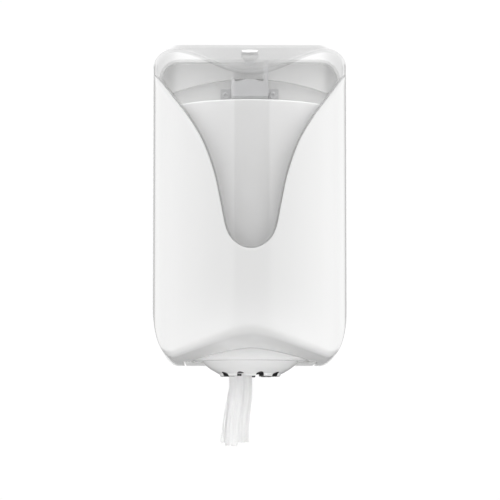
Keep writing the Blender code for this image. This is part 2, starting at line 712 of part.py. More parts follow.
def make_shelf(materials):
    half = CUTOUT_HALF_WIDTH - SWING_GAP - GAP
    back = PLATE + GAP
    floor_up = DECK_UP - DECK
    front = CUTOUT_OUT - SWING_GAP
    shelf = room(
        "roll_shelf", half, back + GAP / 2, front, GAP, floor_up + GAP,
        material=materials["white_satin"],
    )
    cut(shelf, room(
        "shelf_hollow", half - WALL, back + WALL, front + OVERRUN, GAP + WALL,
        floor_up + OVERRUN,
    ))
    cut(shelf, disc(
        "collar_seat", COLLAR_RADIUS + NOZZLE_GAP, -OVERRUN, DECK_UP + OVERRUN, LARGE_STEPS,
        centre=NOZZLE_POINT,
    ))
    deck = level_prism("deck_form", deck_outline(), floor_up, DECK_UP, base=(0, 0, FOOT_Z))
    flange = room(
        "shelf_flange", SHELF_FLANGE_HALF_WIDTH, back, back + PLATE, WALL / 2, SHELF_FLANGE_UP
    )
    join(shelf, deck, flange)
    cut(shelf, disc(
        "feed_hole", FEED_HOLE_RADIUS, -OVERRUN, DECK_UP + OVERRUN, ROUND_STEPS, centre=NOZZLE_POINT
    ))
    for k, angle in enumerate(COLLAR_SCREW_ANGLES):
        spot = collar_screw_spot(angle)
        name = str(k + 1)
        cut(shelf, disc(
            "deck_hole_" + name, SCREW_RADIUS + GAP, floor_up - OVERRUN, DECK_UP + OVERRUN,
            SMALL_STEPS, centre=spot,
        ))
        cut(shelf, disc(
            "deck_sink_" + name, SCREW_HEAD_RADIUS + GAP, DECK_UP - SCREW_HEAD - GAP,
            DECK_UP + OVERRUN, SMALL_STEPS, centre=spot,
        ))
    for k, (x, up) in enumerate(shelf_screw_places()):
        cut(shelf, screw_hole("flange_hole_" + str(k + 1), x, up))
    cut(shelf, pin_bore("web_bore", -CUTOUT_HALF_WIDTH, CUTOUT_HALF_WIDTH))
    return shelf


def make_collar(materials):
    low, top = COLLAR_FOOT_UP, DECK_UP - DECK - GAP
    ledge = low + COLLAR_LEDGE
    edge_centre = (COLLAR_RADIUS - COLLAR_EDGE, low + COLLAR_EDGE)
    inner, bore = COLLAR_RADIUS - COLLAR_WALL, CUP_NECK_RADIUS + GAP
    profile = arc(edge_centre, (COLLAR_EDGE, COLLAR_EDGE), -90, 0, EDGE_STEPS) + [
        (COLLAR_RADIUS, top), (inner, top), (inner, ledge), (bore, ledge), (bore, low),
    ]
    collar = turned(
        "nozzle_collar", profile, LARGE_STEPS, centre=NOZZLE_POINT,
        material=materials["white_gloss"],
    )
    boss_top = top - GAP
    for k, angle in enumerate(COLLAR_SCREW_ANGLES):
        spot = collar_screw_spot(angle)
        name = str(k + 1)
        join(collar, disc(
            "boss_" + name, BOSS_RADIUS, BOSS_LOW, boss_top, SMALL_STEPS, centre=spot
        ))
        cut(collar, disc(
            "boss_bore_" + name, SCREW_RADIUS + GAP, BOSS_LOW - BOSS_ROOM, top + OVERRUN,
            SMALL_STEPS, centre=spot,
        ))
    return collar


def cup_points(shares):
    return [(CUP_NECK_RADIUS * r, CUP_DROP * (h - 1)) for r, h in shares]


def make_cup(materials):
    inner = cup_points(CUP_INNER_SHARES)
    profile = [
        (CUP_LIP_RADIUS, CUP_LIP_TOP), (CUP_LIP_RADIUS, CUP_LIP_LOW), (CUP_NECK_RADIUS, CUP_LIP_LOW),
    ]
    profile += cup_points(CUP_BOWL_SHARES)
    profile += [(TEETH_RADIUS, -CUP_DROP), (TEETH_RADIUS, CUP_WALL - CUP_DROP)]
    profile += inner + [(inner[-1][0], CUP_LIP_TOP)]
    cup = turned(
        "nozzle_cup", profile, LARGE_STEPS, centre=NOZZLE_POINT, material=materials["white_gloss"]
    )
    radii = (LOBE_LENGTH, LOBE_HALF_WIDTH)
    lobe = arc((LOBE_CENTRE_RADIUS, 0), radii, 0, 360, SMALL_STEPS)[:-1]
    for k in range(LOBES):
        turn = Matrix.Rotation(math.tau * k / LOBES, 2)
        outline = [tuple(turn @ Vector(point)) for point in lobe]
        cut(cup, level_prism(
            "lobe_" + str(k + 1), outline, -CUP_DROP - OVERRUN, 0, base=NOZZLE_POINT
        ))
    return cup


def make_liner(materials):
    under = cup_points(LINER_SHARES)
    over = [(r, h + LINER_THICKNESS) for r, h in reversed(under)]
    return turned(
        "nozzle_liner", under + over, ROUND_STEPS, centre=NOZZLE_POINT,
        material=materials["black_matte"],
    )


def screw(name, length, material, **place):
    """A cross-head screw standing on its tip's side of z = 0: the head's face is at z = 0."""
    profile = [
        (0, 0), (SCREW_HEAD_RADIUS * SCREW_CROWN_SHARE, 0), (SCREW_HEAD_RADIUS, -SCREW_HEAD / 3),
        (SCREW_HEAD_RADIUS, -SCREW_HEAD), (SCREW_RADIUS, -SCREW_HEAD),
        (SCREW_RADIUS, -SCREW_HEAD - length + SCREW_RADIUS / 2),
        (SCREW_RADIUS / 2, -SCREW_HEAD - length), (0, -SCREW_HEAD - length),
    ]
    made = turned(name, profile, SMALL_STEPS, material=material, **place)
    half_long, half_wide = RECESS_LENGTH / 2, RECESS_WIDTH / 2
    for word, across, along in (("a", half_long, half_wide), ("b", half_wide, half_long)):
        slot = box(
            name + "_slot_" + word, (-across, -along, -RECESS_DEPTH), (across, along, OVERRUN),
        )
        slot.parent = made
        cut(made, slot)
    return made


def make_screws(materials):
    steel = materials["bright_steel"]
    back = PLATE + GAP
    head_face = back + PLATE + GAP + SCREW_HEAD
    length = back + PLATE - GAP
    for k, (x, up) in enumerate(shelf_screw_places()):
        made = screw("shelf_screw_" + str(k + 1), length, steel)
        made.matrix_world = screw_place(x, up, head_face)
    for k, (x, up) in enumerate(striker_screw_places()):
        made = screw("striker_screw_" + str(k + 1), length, materials["grey_plastic"])
        made.matrix_world = screw_place(x, up, head_face)
    for k, angle in enumerate(COLLAR_SCREW_ANGLES):
        made = screw("collar_screw_" + str(k + 1), COLLAR_SCREW_LENGTH, steel)
        made.location = collar_screw_spot(angle) + Vector((0, 0, DECK_UP))


def make_pins(materials):
    head_face = CUTOUT_HALF_WIDTH - SWING_GAP - GAP - WALL - GAP
    tip = CUTOUT_HALF_WIDTH + GAP + EAR_THICKNESS + GAP
    profile = [
        (0, -PIN_HEAD), (PIN_HEAD_RADIUS, -PIN_HEAD), (PIN_HEAD_RADIUS, 0), (PIN_RADIUS, 0),
        (PIN_RADIUS, tip - head_face), (0, tip - head_face),
    ]
    for side, word in ((-1, "left"), (1, "right")):
        pin = turned("hinge_pin_" + word, profile, SMALL_STEPS, material=materials["bright_steel"])
        spot = HINGE_POINT + Vector((side * head_face, 0, 0))
        pin.matrix_world = Matrix.Translation(spot) @ Matrix.Rotation(side * math.radians(90), 4, "Y")


def striker_plate():
    """The striker's front plate: an arched middle, and a lip at its right-hand end."""
    half, arch_half = STRIKER_WIDTH / 2, STRIKER_ARCH_HALF_WIDTH
    low, high = FOOT_Z + STRIKER_UP, FOOT_Z + CAM_UP + LIP_OVERLAP
    crown = low + STRIKER_HEIGHT - STRIKER_ARCH_DROP
    end = math.degrees(math.acos(arch_half / STRIKER_ARCH_RADIUS))
    radii = (STRIKER_ARCH_RADIUS, STRIKER_ARCH_RADIUS)
    arch = arc((0, crown - STRIKER_ARCH_RADIUS), radii, end, 180 - end, ARC_STEPS)
    foot, inner = arch[0][1], half - LIP_WIDTH
    outline = [(-half, low), (half, low), (half, high), (inner, high), (inner, foot)] + arch
    outline += [(-half, foot)]
    return prism("striker_plate", outline, STRIKER_OUT - LIP_THICKNESS, STRIKER_OUT)


def make_striker(materials):
    back, low, top = PLATE + GAP, STRIKER_UP + GAP, STRIKER_UP + STRIKER_HEIGHT
    half = STRIKER_WIDTH / 2 - GAP
    striker = room(
        "lock_striker", half, back, STRIKER_OUT - LIP_THICKNESS / 2, low, top,
        material=materials["grey_plastic"],
    )
    cut(striker, room(
        "striker_hollow", half - STRIKER_WALL, back + STRIKER_WALL, STRIKER_OUT + OVERRUN,
        low + STRIKER_WALL, top + OVERRUN,
    ))
    join(striker, striker_plate())
    join(striker, room(
        "striker_flange", STRIKER_FLANGE_WIDTH / 2, back, back + PLATE, STRIKER_UP,
        STRIKER_UP + STRIKER_FLANGE_HEIGHT,
    ))
    for k, (x, up) in enumerate(striker_screw_places()):
        cut(striker, screw_hole("striker_hole_" + str(k + 1), x, up))
    return striker


def cam_outline():
    """The cam from above: a round hub and a narrower round-ended arm towards the wall."""
    tip_radius = CAM_WIDTH / 2
    reach = CAM_LENGTH - tip_radius
    lean = math.degrees(math.asin((CAM_HUB_RADIUS - tip_radius) / reach))
    hub = arc((0, 0), (CAM_HUB_RADIUS, CAM_HUB_RADIUS), 180 - lean, 360 + lean, 2 * ARC_STEPS)
    return hub + arc((0, reach), (tip_radius, tip_radius), lean, 180 - lean, ARC_STEPS)


def make_lock(materials, lock_axis):
    """The lock's pieces, made along the lock's own axis with its outer face at z = 0."""
    steel, white = materials["bright_steel"], materials["white_satin"]
    place = {"parent": lock_axis, "keep_place": False}
    face, bore = -LOCK_SINK, CORE_RADIUS + GAP
    under = face - LOCK_FLANGE
    turned("lock_body", [
        (bore, face), (LOCK_FLANGE_RADIUS - GAP, face), (LOCK_FLANGE_RADIUS, face - GAP),
        (LOCK_FLANGE_RADIUS, under), (BARREL_RADIUS, under), (BARREL_RADIUS, -BARREL_LENGTH),
        (bore, -BARREL_LENGTH),
    ], ROUND_STEPS, material=white, **place)
    core_end = -BARREL_LENGTH - CORE_END
    cam_top = core_end - GAP
    cam_foot = cam_top - CAM_THICKNESS
    tip = cam_foot - GAP + CAM_SCREW_LENGTH
    hole = SCREW_RADIUS + GAP
    core = turned("lock_core", [
        (0, face), (CORE_RADIUS, face), (CORE_RADIUS, core_end), (hole, core_end),
        (hole, tip + GAP), (0, tip + GAP),
    ], ROUND_STEPS, material=materials["grey_plastic"], **place)
    cut(core, box(
        "keyway", (-KEYWAY_WIDTH / 2, -KEYWAY_LENGTH / 2, face - KEYWAY_DEPTH),
        (KEYWAY_WIDTH / 2, KEYWAY_LENGTH / 2, face + OVERRUN), **place,
    ))
    cam = level_prism("lock_cam", cam_outline(), cam_foot, cam_top, material=steel, **place)
    cut(cam, disc("cam_bore", hole, cam_foot - OVERRUN, cam_top + OVERRUN, SMALL_STEPS, **place))
    cam_screw = screw("cam_screw", CAM_SCREW_LENGTH, steel, **place)
    cam_screw.location = (0, 0, cam_foot - GAP - SCREW_HEAD)
    cam_screw.rotation_euler = (math.pi, 0, 0)
    nut_top = -WALL - GAP
    nut = disc(
        "lock_nut", NUT_RADIUS, nut_top - NUT_THICKNESS, nut_top, NUT_SIDES, material=white, **place
    )
    cut(nut, disc(
        "nut_bore", BARREL_RADIUS + GAP, nut_top - NUT_THICKNESS - OVERRUN, OVERRUN, ROUND_STEPS,
        **place,
    ))


def make_roll(materials):
    low, high = DECK_UP + GAP, DECK_UP + GAP + ROLL_HEIGHT
    edge = ROLL_RADIUS - ROLL_EDGE
    return turned("paper_roll", [
        (CORE_HOLE_RADIUS, high), (edge, high), (ROLL_RADIUS, high - ROLL_EDGE),
        (ROLL_RADIUS, low + ROLL_EDGE), (edge, low), (CORE_HOLE_RADIUS, low),
    ], LARGE_STEPS, centre=NOZZLE_POINT, material=materials["white_paper"])


def tail_sections():
    """Up, centre x, width, depth of the folds and lean of the tail, from the core to its end."""
    sections = []
    for height, radius, table in (
        (TAIL_RISE, CORE_HOLE_RADIUS, TAIL_CORE_SHARES),
        (DECK_UP, FEED_HOLE_RADIUS, TAIL_FEED_SHARES),
        (TAIL_DROP, MOUTH_RADIUS, TAIL_MOUTH_SHARES),
    ):
        sections += [(row[0] * height, *(share * radius for share in row[1:])) for row in table]
    return sections


def tail_loop(section):
    """One level of the gathered tail: across its front folds, and back along its rear face."""
    up, centre_x, width, depth, forward = section
    half = TAIL_STATIONS // 2
    points = []
    for k in range(TAIL_STATIONS):
        front = k < half
        share = (k + 0.5) / half if front else 2 - (k + 0.5) / half
        fade = math.sin(math.pi * share) ** FOLD_FADE_POWER
        wave = depth * fade * math.sin(math.tau * TAIL_FOLDS * share)
        skin = TAIL_THICKNESS / 2 if front else -TAIL_THICKNESS / 2
        y = -NOZZLE_OUT + forward - wave - skin
        points.append(Vector((centre_x + (share - 0.5) * width, y, FOOT_Z + up)))
    return points


def make_tail(materials):
    loops = [tail_loop(section) for section in tail_sections()]
    levels = len(loops) - 1
    bm = bmesh.new()
    bmesh.ops.create_grid(bm, x_segments=TAIL_STATIONS, y_segments=levels, size=1.0)
    for vert in bm.verts:
        station = round((vert.co.x + 1) / 2 * TAIL_STATIONS) % TAIL_STATIONS
        level = round((vert.co.y + 1) / 2 * levels)
        vert.co = loops[level][station]
    bmesh.ops.remove_doubles(bm, verts=bm.verts, dist=MERGE)
    bmesh.ops.holes_fill(bm, edges=[edge for edge in bm.edges if edge.is_boundary])
    bmesh.ops.recalc_face_normals(bm, faces=bm.faces)
    return new_object("paper_tail", bm, material=materials["white_paper"])


def empty(name, parent=None):
    item = bpy.data.objects.new(name, None)
    bpy.context.scene.collection.objects.link(item)
    item.parent = parent
    return item


def main():
    clear_scene()
    materials = make_materials()
    cover_axis = empty("cover_axis")
    cover_axis.location = HINGE_POINT
    lock_axis = empty("lock_axis", cover_axis)
    lock_axis.location = LOCK_POINT - HINGE_POINT
    lock_axis.rotation_euler = (LOCK_TILT, 0, 0)
    bpy.context.view_layer.update()
    make_cover(materials, cover_axis)
    make_window(materials, cover_axis, lock_axis)
    make_lock(materials, lock_axis)
    make_housing(materials)
    make_shelf(materials)
    make_striker(materials)
    make_collar(materials)
    make_cup(materials)
    make_liner(materials)
    make_pins(materials)
    make_screws(materials)
    make_roll(materials)
    make_tail(materials)


main()
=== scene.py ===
import json
import math

import bmesh
import bpy
from mathutils import Matrix, Vector, noise


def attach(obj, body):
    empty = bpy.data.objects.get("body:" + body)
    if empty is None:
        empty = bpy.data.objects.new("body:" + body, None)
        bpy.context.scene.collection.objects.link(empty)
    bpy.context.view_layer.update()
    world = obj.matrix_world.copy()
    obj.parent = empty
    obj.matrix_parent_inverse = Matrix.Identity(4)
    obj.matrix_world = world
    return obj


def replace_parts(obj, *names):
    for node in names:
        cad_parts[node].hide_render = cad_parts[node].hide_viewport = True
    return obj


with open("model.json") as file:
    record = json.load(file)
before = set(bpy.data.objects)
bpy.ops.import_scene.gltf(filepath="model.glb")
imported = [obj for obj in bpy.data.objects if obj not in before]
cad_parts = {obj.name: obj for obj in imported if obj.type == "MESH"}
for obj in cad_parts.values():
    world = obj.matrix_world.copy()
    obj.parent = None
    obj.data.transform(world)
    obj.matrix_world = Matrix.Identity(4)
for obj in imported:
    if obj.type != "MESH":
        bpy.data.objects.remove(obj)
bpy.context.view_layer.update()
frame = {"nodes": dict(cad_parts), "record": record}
nodes = frame["nodes"]
mergeDistance = 0.000002
hairGap = 0.0001
print("frame loaded:", len(nodes), "pieces")


# small helpers for meshes

def newPiece(name, bm, material, body, sharp=30):
    mesh = bpy.data.meshes.new(name)
    bm.to_mesh(mesh)
    bm.free()
    mesh.materials.append(material)
    shadeSmooth(mesh, sharp)
    piece = bpy.data.objects.new(name, mesh)
    bpy.context.scene.collection.objects.link(piece)
    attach(piece, body)
    return piece


def shadeSmooth(mesh, sharp):
    mesh.shade_smooth()
    mesh.set_sharp_from_angle(angle=math.radians(sharp))


def mappedGrid(columns, shadeName=None, shades=None):
    # a grid whose columns of points are laid where they belong, with a named shade for some rows
    across, along = len(columns) - 1, len(columns[0]) - 1
    bm = bmesh.new()
    bmesh.ops.create_grid(bm, x_segments=across, y_segments=along, size=1)
    layer = bm.verts.layers.float.new(shadeName) if shadeName else None
    for vert in bm.verts:
        column = round((vert.co.x + 1) / 2 * across)
        row = round((vert.co.y + 1) / 2 * along)
        vert.co = columns[column][row]
        if layer:
            vert[layer] = shades.get(row, 0)
    bmesh.ops.remove_doubles(bm, verts=bm.verts, dist=mergeDistance)
    return bm


def faceOut(bm, middle):
    # turns an open skin so that its faces look away from the middle of the body
    total = sum((face.calc_center_median() - middle).dot(face.normal) * face.calc_area() for face in bm.faces)
    if total < 0:
        bmesh.ops.reverse_faces(bm, faces=bm.faces)


def turned(profile, steps, centre):
    # turns an outline of (radius, height) points about a vertical axis
    bm = bmesh.new()
    verts = [bm.verts.new((radius, 0, height)) for radius, height in profile]
    edges = [bm.edges.new(pair) for pair in zip(verts, verts[1:] + verts[:1])]
    bmesh.ops.spin(
        bm, geom=verts + edges, axis=(0, 0, 1), cent=(0, 0, 0), angle=math.tau, steps=steps,
        use_merge=True, use_duplicate=False,
    )
    bmesh.ops.remove_doubles(bm, verts=bm.verts, dist=mergeDistance)
    bmesh.ops.delete(bm, geom=[edge for edge in bm.edges if not edge.link_faces], context="EDGES")
    bmesh.ops.recalc_face_normals(bm, faces=bm.faces)
    bmesh.ops.translate(bm, verts=bm.verts, vec=centre)
    return bm


def arcPoints(centre, radii, start, end, steps):
    angles = [math.radians(start + (end - start) * k / steps) for k in range(steps + 1)]
    return [(centre[0] + radii[0] * math.cos(a), centre[1] + radii[1] * math.sin(a)) for a in angles]


def addModifier(piece, kind, **settings):
    modifier = piece.modifiers.new(kind.lower(), kind)
    for key, value in settings.items():
        setattr(modifier, key, value)


def addBevel(piece, width, angle=50, segments=2):
    addModifier(piece, "BEVEL", width=width, segments=segments, profile=0.5, limit_method="ANGLE",
                angle_limit=math.radians(angle), use_clamp_overlap=True)


def applyModifiers(piece):
    bpy.context.view_layer.update()
    graph = bpy.context.evaluated_depsgraph_get()
    mesh = bpy.data.meshes.new_from_object(piece.evaluated_get(graph))
    piece.modifiers.clear()
    piece.data = mesh


def smoothThrough(points, steps):
    # a smooth open line through its points
    line = []
    padded = [points[0]] + points + [points[-1]]
    for before, start, end, after in zip(padded, padded[1:], padded[2:], padded[3:]):
        for k in range(steps):
            s = k / steps
            line.append(0.5 * (
                2 * start + (end - before) * s + (2 * before - 5 * start + 4 * end - after) * s ** 2
                + (3 * start - before - 3 * end + after) * s ** 3
            ))
    return line + [points[-1]]


# camera and lights

studio = {
    "eye": (-0.0195, -2.4, -0.229), "target": (0.0005, 0, -0.0424),
    "lens": 185.5, "sensor": 36, "clipEnd": 60,
    # the tent's strength in each part, and the bands of direction over which it changes
    "backGlow": 1.02, "backBand": (0.5, 0.9), "rearBand": (-0.1, 0.25),
    "dimGlow": 0.35, "panelAcross": (0.115, 0.15), "panelEnd": (0.2, 0.28),
    "leftGlow": 1.23, "rightGlow": 1.29, "sideBand": (-0.2, 0.2),
    "frontShare": 0.66, "frontBand": (-0.9, 0.1),
    "lowBackGlow": 0.4, "lowBack": (-0.05, -0.025), "lowGlow": 0.85, "lowBand": (-0.8, -0.06),
    "slotGlow": 0.15, "slotLeft": (-0.325, -0.305), "slotRight": (0.33, 0.45),
    "slotEnd": (-0.2, 0), "slotTop": (0.25, 0.45), "slotNear": 0.001,
    "roofGlow": 0.75, "roofBand": (0.18, 0.21), "topGlow": 1.4, "topBand": (0.4, 0.8),
}
lamps = {
    "topSoftbox": {"spot": (0, -0.5, 1.6), "aim": (0, -0.08, 0), "size": (1.6, 1.2), "glow": 2.1},
    "lowSoftbox": {
        "spot": (0.25, -0.9, -0.8), "aim": (0.02, -0.085, -0.2), "size": (0.4, 0.4), "glow": 0.1,
        "spread": 50, "mirrored": False,
    },
    "tailSoftbox": {
        "spot": (0.1, -1.5, -0.32), "aim": (-0.008, -0.085, -0.19), "size": (0.12, 0.12), "glow": 0.4,
        "spread": 6, "mirrored": False,
    },
}


def makeCamera():
    camera = bpy.data.cameras.new("camera")
    camera.sensor_width = studio["sensor"]
    camera.lens = studio["lens"]
    camera.clip_end = studio["clipEnd"]
    view = bpy.data.objects.new("camera", camera)
    bpy.context.scene.collection.objects.link(view)
    eye, target = Vector(studio["eye"]), Vector(studio["target"])
    view.location = eye
    view.rotation_euler = (target - eye).to_track_quat("-Z", "Y").to_euler()
    bpy.context.scene.camera = view


def areaLight(name, spot, aim, size, glow, spread=160, mirrored=True):
    light = bpy.data.lights.new(name, "AREA")
    light.shape = "RECTANGLE"
    light.size, light.size_y = size
    light.energy = glow * math.pi * size[0] * size[1]
    light.spread = math.radians(spread)
    lamp = bpy.data.objects.new(name, light)
    bpy.context.scene.collection.objects.link(lamp)
    lamp.visible_glossy = mirrored
    lamp.location = spot
    lamp.rotation_euler = (Vector(aim) - Vector(spot)).to_track_quat("-Z", "Y").to_euler()


def makeWorld():
    # a white tent, brighter at the sides, with two dim panels behind the body, a dark slot behind the
    # camera, and plain white where the camera looks past the body
    s = studio
    world = bpy.data.worlds.new("studio")
    bpy.context.scene.world = world
    world.use_nodes = True
    tree = world.node_tree

    def node(kind, values, **settings):
        made = tree.nodes.new("ShaderNode" + kind)
        for key, value in settings.items():
            setattr(made, key, value)
        for key, value in values.items():
            if isinstance(value, bpy.types.NodeSocket):
                tree.links.new(value, made.inputs[key])
            else:
                made.inputs[key].default_value = value
        return made.outputs[0]

    def maths(operation, first, second=0):
        return node("Math", {0: first, 1: second}, operation=operation)

    def times(first, second):
        return maths("MULTIPLY", first, second)

    def mixed(share, first, second):
        return node("Mix", {0: share, 2: first, 3: second}, data_type="FLOAT")

    def between(value, band, start, end):
        ends = {"Value": value, "From Min": band[0], "From Max": band[1], "To Min": start, "To Max": end}
        return node("MapRange", ends, interpolation_type="SMOOTHSTEP")

    place = tree.nodes.new("ShaderNodeTexCoord").outputs["Generated"]
    parts = tree.nodes.new("ShaderNodeSeparateXYZ")
    tree.links.new(place, parts.inputs[0])
    x, y, z = parts.outputs
    width = maths("ABSOLUTE", x)
    slant = maths("DIVIDE", x, maths("MAXIMUM", times(y, -1), s["slotNear"]))
    slot = times(between(slant, s["slotLeft"], 0, 1), between(slant, s["slotRight"], 1, 0))
    slot = times(slot, between(y, s["slotEnd"], 1, 0))
    slot = times(slot, between(z, s["slotTop"], 1, 0))
    side = between(x, s["sideBand"], s["leftGlow"], s["rightGlow"])
    panels = times(between(width, s["panelAcross"], 0, 1), between(width, s["panelEnd"], 1, 0))
    back = mixed(between(width, s["backBand"], 0, 1), s["backGlow"], side)
    back = mixed(panels, back, s["dimGlow"])
    back = mixed(between(z, s["roofBand"], 0, 1), back, s["roofGlow"])
    back = times(back, between(z, s["lowBack"], s["lowBackGlow"], 1))
    side = times(side, between(z, s["lowBand"], s["lowGlow"], 1))
    side = times(side, between(y, s["frontBand"], s["frontShare"], 1))
    glow = mixed(between(y, s["rearBand"], 0, 1), side, back)
    glow = mixed(slot, glow, s["slotGlow"])
    glow = mixed(between(z, s["topBand"], 0, 1), glow, s["topGlow"])
    seen = tree.nodes.new("ShaderNodeLightPath").outputs["Is Camera Ray"]
    glow = mixed(seen, glow, s["backGlow"])
    tree.nodes["Background"].inputs["Color"].default_value = (1, 1, 1, 1)
    tree.links.new(glow, tree.nodes["Background"].inputs["Strength"])


makeCamera()
makeWorld()
for name, settings in lamps.items():
    areaLight(name, **settings)
bpy.context.scene.view_settings.view_transform = "Standard"
print("studio ready")


# finishes: shader sums are written as plain Python on wires

class Wire:
    def __init__(self, finish, socket):
        self.finish, self.socket = finish, socket

    def maths(self, operation, *values):
        return self.finish.node("Math", {"operation": operation}, dict(enumerate(values)))

    def __add__(self, other):
        return self.maths("ADD", self, other)

    def __sub__(self, other):
        return self.maths("SUBTRACT", self, other)

    def __mul__(self, other):
        return self.maths("MULTIPLY", self, other)

    def __pow__(self, other):
        return self.maths("POWER", self, other)

    def sine(self):
        return self.maths("SINE", self)

    __radd__ = __add__


class Finish:
    def __init__(self, name, **sockets):
        self.material = bpy.data.materials.new(name)
        self.material.use_nodes = True
        self.tree = self.material.node_tree
        self.tree.nodes.clear()
        output = self.tree.nodes.new("ShaderNodeOutputMaterial")
        self.shader = self.tree.nodes.new("ShaderNodeBsdfPrincipled")
        self.tree.links.new(self.shader.outputs[0], output.inputs["Surface"])
        self.use(**sockets)

    def set(self, node, key, value):
        if isinstance(value, Wire):
            self.tree.links.new(value.socket, node.inputs[key])
        else:
            node.inputs[key].default_value = value

    def use(self, **sockets):
        for key, value in sockets.items():
            self.set(self.shader, key.replace("_", " "), value)
        return self

    def node(self, kind, settings=None, inputs=None, output=0):
        node = self.tree.nodes.new("ShaderNode" + kind)
        for key, value in (settings or {}).items():
            setattr(node, key, value)
        for key, value in (inputs or {}).items():
            self.set(node, key, value)
        return Wire(self, node.outputs[output])

    def place(self, scale=(1, 1, 1), offset=(0, 0, 0), source="Object"):
        spot = self.node("TexCoord", output=source)
        return self.node("Mapping", None, {"Vector": spot, "Scale": scale, "Location": offset})

    def parts(self, spot):
        return [self.node("SeparateXYZ", None, {"Vector": spot}, output=axis) for axis in "XY"]

    def noise(self, scale, detail=2, rough=0.5, stretch=(1, 1, 1), source="Object"):
        where = self.place(stretch, source=source)
        return self.node("TexNoise", None, {
            "Vector": where, "Scale": scale, "Detail": detail, "Roughness": rough,
        })

    def rings(self, radius, scale):
        place = {"W": radius * scale, "Scale": 1.0, "Detail": 2}
        return self.node("TexNoise", {"noise_dimensions": "1D"}, place)

    def between(self, value, band):
        return self.node("MapRange", None, {"Value": value, "From Min": band[0], "From Max": band[1]})

    def mix(self, share, tints):
        first, second = [(*tint, 1) for tint in tints]
        return self.node("Mix", {"data_type": "RGBA"}, {0: share, 6: first, 7: second}, output=2)

    def bump(self, height, distance, strength=1):
        made = self.node("Bump", None, {"Height": height, "Distance": distance, "Strength": strength})
        return self.use(Normal=made)


# a noise is set by its scale, detail and roughness, then how its place is stretched and what it lies on

glossSettings = {
    "tints": ((0.86, 0.86, 0.8557), (0.8471, 0.8471, 0.8471)), "cloud": (9, 2),
    "roughness": 0.16, "dust": (420, 4, 0.7), "dustShare": 0.06,
    "coat": 0.5, "coatRoughness": 0.04, "peel": (90, 3), "peelDepth": 0.00002,
}


def makeGloss():
    # polished white plastic: faint moulding ripple, faint dust in the roughness
    s = glossSettings
    finish = Finish("whiteGloss", Coat_Roughness=s["coatRoughness"], Coat_Weight=s["coat"])
    tint = finish.mix(finish.noise(*s["cloud"]), s["tints"])
    finish.use(Base_Color=tint, Roughness=s["roughness"] + (finish.noise(*s["dust"]) - 0.5) * s["dustShare"])
    return finish.bump(finish.noise(*s["peel"]), s["peelDepth"]).material


satinSettings = {
    "tints": ((0.93, 0.93, 0.9207), (0.89745, 0.89745, 0.8928)), "cloud": (14, 3),
    "roughness": 0.42, "grain": (2600, 2, 0.6), "grainShare": 0.12, "grainDepth": 0.000035, "strength": 0.6,
}


def makeSatin():
    # moulded white plastic with a fine spark-eroded grain
    s = satinSettings
    finish = Finish("whiteSatin")
    grain = finish.noise(*s["grain"])
    tint = finish.mix(finish.noise(*s["cloud"]), s["tints"])
    finish.use(Base_Color=tint, Roughness=s["roughness"] + grain * s["grainShare"])
    return finish.bump(grain, s["grainDepth"], s["strength"]).material


smokySettings = {
    "tints": ((0.80, 0.803, 0.806), (0.12, 0.121, 0.122)), "slant": (0.52, 0.62), "index": 3.8,
    "haze": 0.11, "dustHaze": 0.01, "shine": 0.75, "facingLeast": 0.04, "facingPower": 5,
    "roughness": 0.03, "dust": (260, 4, 0.7), "dustShare": 0.02, "coatRoughness": 0.02,
    "peel": (70, 2), "peelDepth": 0.000012,
    # the fold's painted shade: a darker tint and more alpha along the fold
    "foldShadeTint": (0.40, 0.402, 0.405, 1), "foldShadeHaze": 0.12, "foldShadeAlpha": 0.11, "foldIndex": 1.35,
    "foldRoughness": 0.15,
    # the cut edge's tints: dark as plastic is seen through edge-on, and a painted shadow line along the joint
    "edgeAndShadowTints": ((0.16, 0.162, 0.165), (0.2, 0.2, 0.2)), "edgeCloud": (300, 2), "edgeRoughness": 0.2,
    "edgeAlpha": 0.5, "edgeShare": 0.05,
}


def makeSmoky():
    # smoky clear plastic: a faint haze, and a darker gloss that rises where the surface turns away
    s = smokySettings
    finish = Finish("smokyClear", IOR=s["index"], Coat_Roughness=s["coatRoughness"], Coat_Weight=1.0)
    facing = finish.node("LayerWeight", None, {"Blend": 0.5}, output="Facing")
    glance = s["facingLeast"] + facing ** s["facingPower"] * (1 - s["facingLeast"])
    dust = finish.noise(*s["dust"])
    tint = finish.mix(finish.between(facing, s["slant"]), s["tints"])
    alpha = s["haze"] + dust * s["dustHaze"] + glance * s["shine"]
    finish.use(Base_Color=tint, Roughness=s["roughness"] + dust * s["dustShare"], Alpha=alpha)
    return finish.bump(finish.noise(*s["peel"]), s["peelDepth"]).material


def makeSmokyFoldPaintedShade():
    # the fold between the front and the top: painted shade along it, where more of the plastic is also seen
    # through
    s = smokySettings
    finish = Finish("smokyFoldPaintedShade", IOR=s["foldIndex"], Base_Color=s["foldShadeTint"])
    fold = finish.node("Attribute", {"attribute_name": "fold"}, output="Fac")
    rough = s["foldRoughness"] + finish.noise(*s["dust"]) * s["dustShare"]
    finish.use(Roughness=rough, Alpha=s["foldShadeHaze"] + fold * s["foldShadeAlpha"])
    return finish.bump(finish.noise(*s["peel"]), s["peelDepth"]).material


def makeSmokyEdgeAndShadowLine():
    # the cut edge of the same plastic: dark as so much of it is seen through, with a painted shadow line at
    # the joint
    s = smokySettings
    finish = Finish("smokyEdgeAndShadowLine", Roughness=s["edgeRoughness"])
    cloud = finish.noise(*s["edgeCloud"])
    alpha = s["edgeAlpha"] + cloud * s["edgeShare"]
    return finish.use(Base_Color=finish.mix(cloud, s["edgeAndShadowTints"]), Alpha=alpha).material


floorSettings = {
    "height": -0.62, "reach": 5.5, "tints": ((0.8, 0.8, 0.8), (0.77, 0.77, 0.77)), "cloud": (3, 2),
    "roughness": 0.6, "cloudShare": 0.1,
}


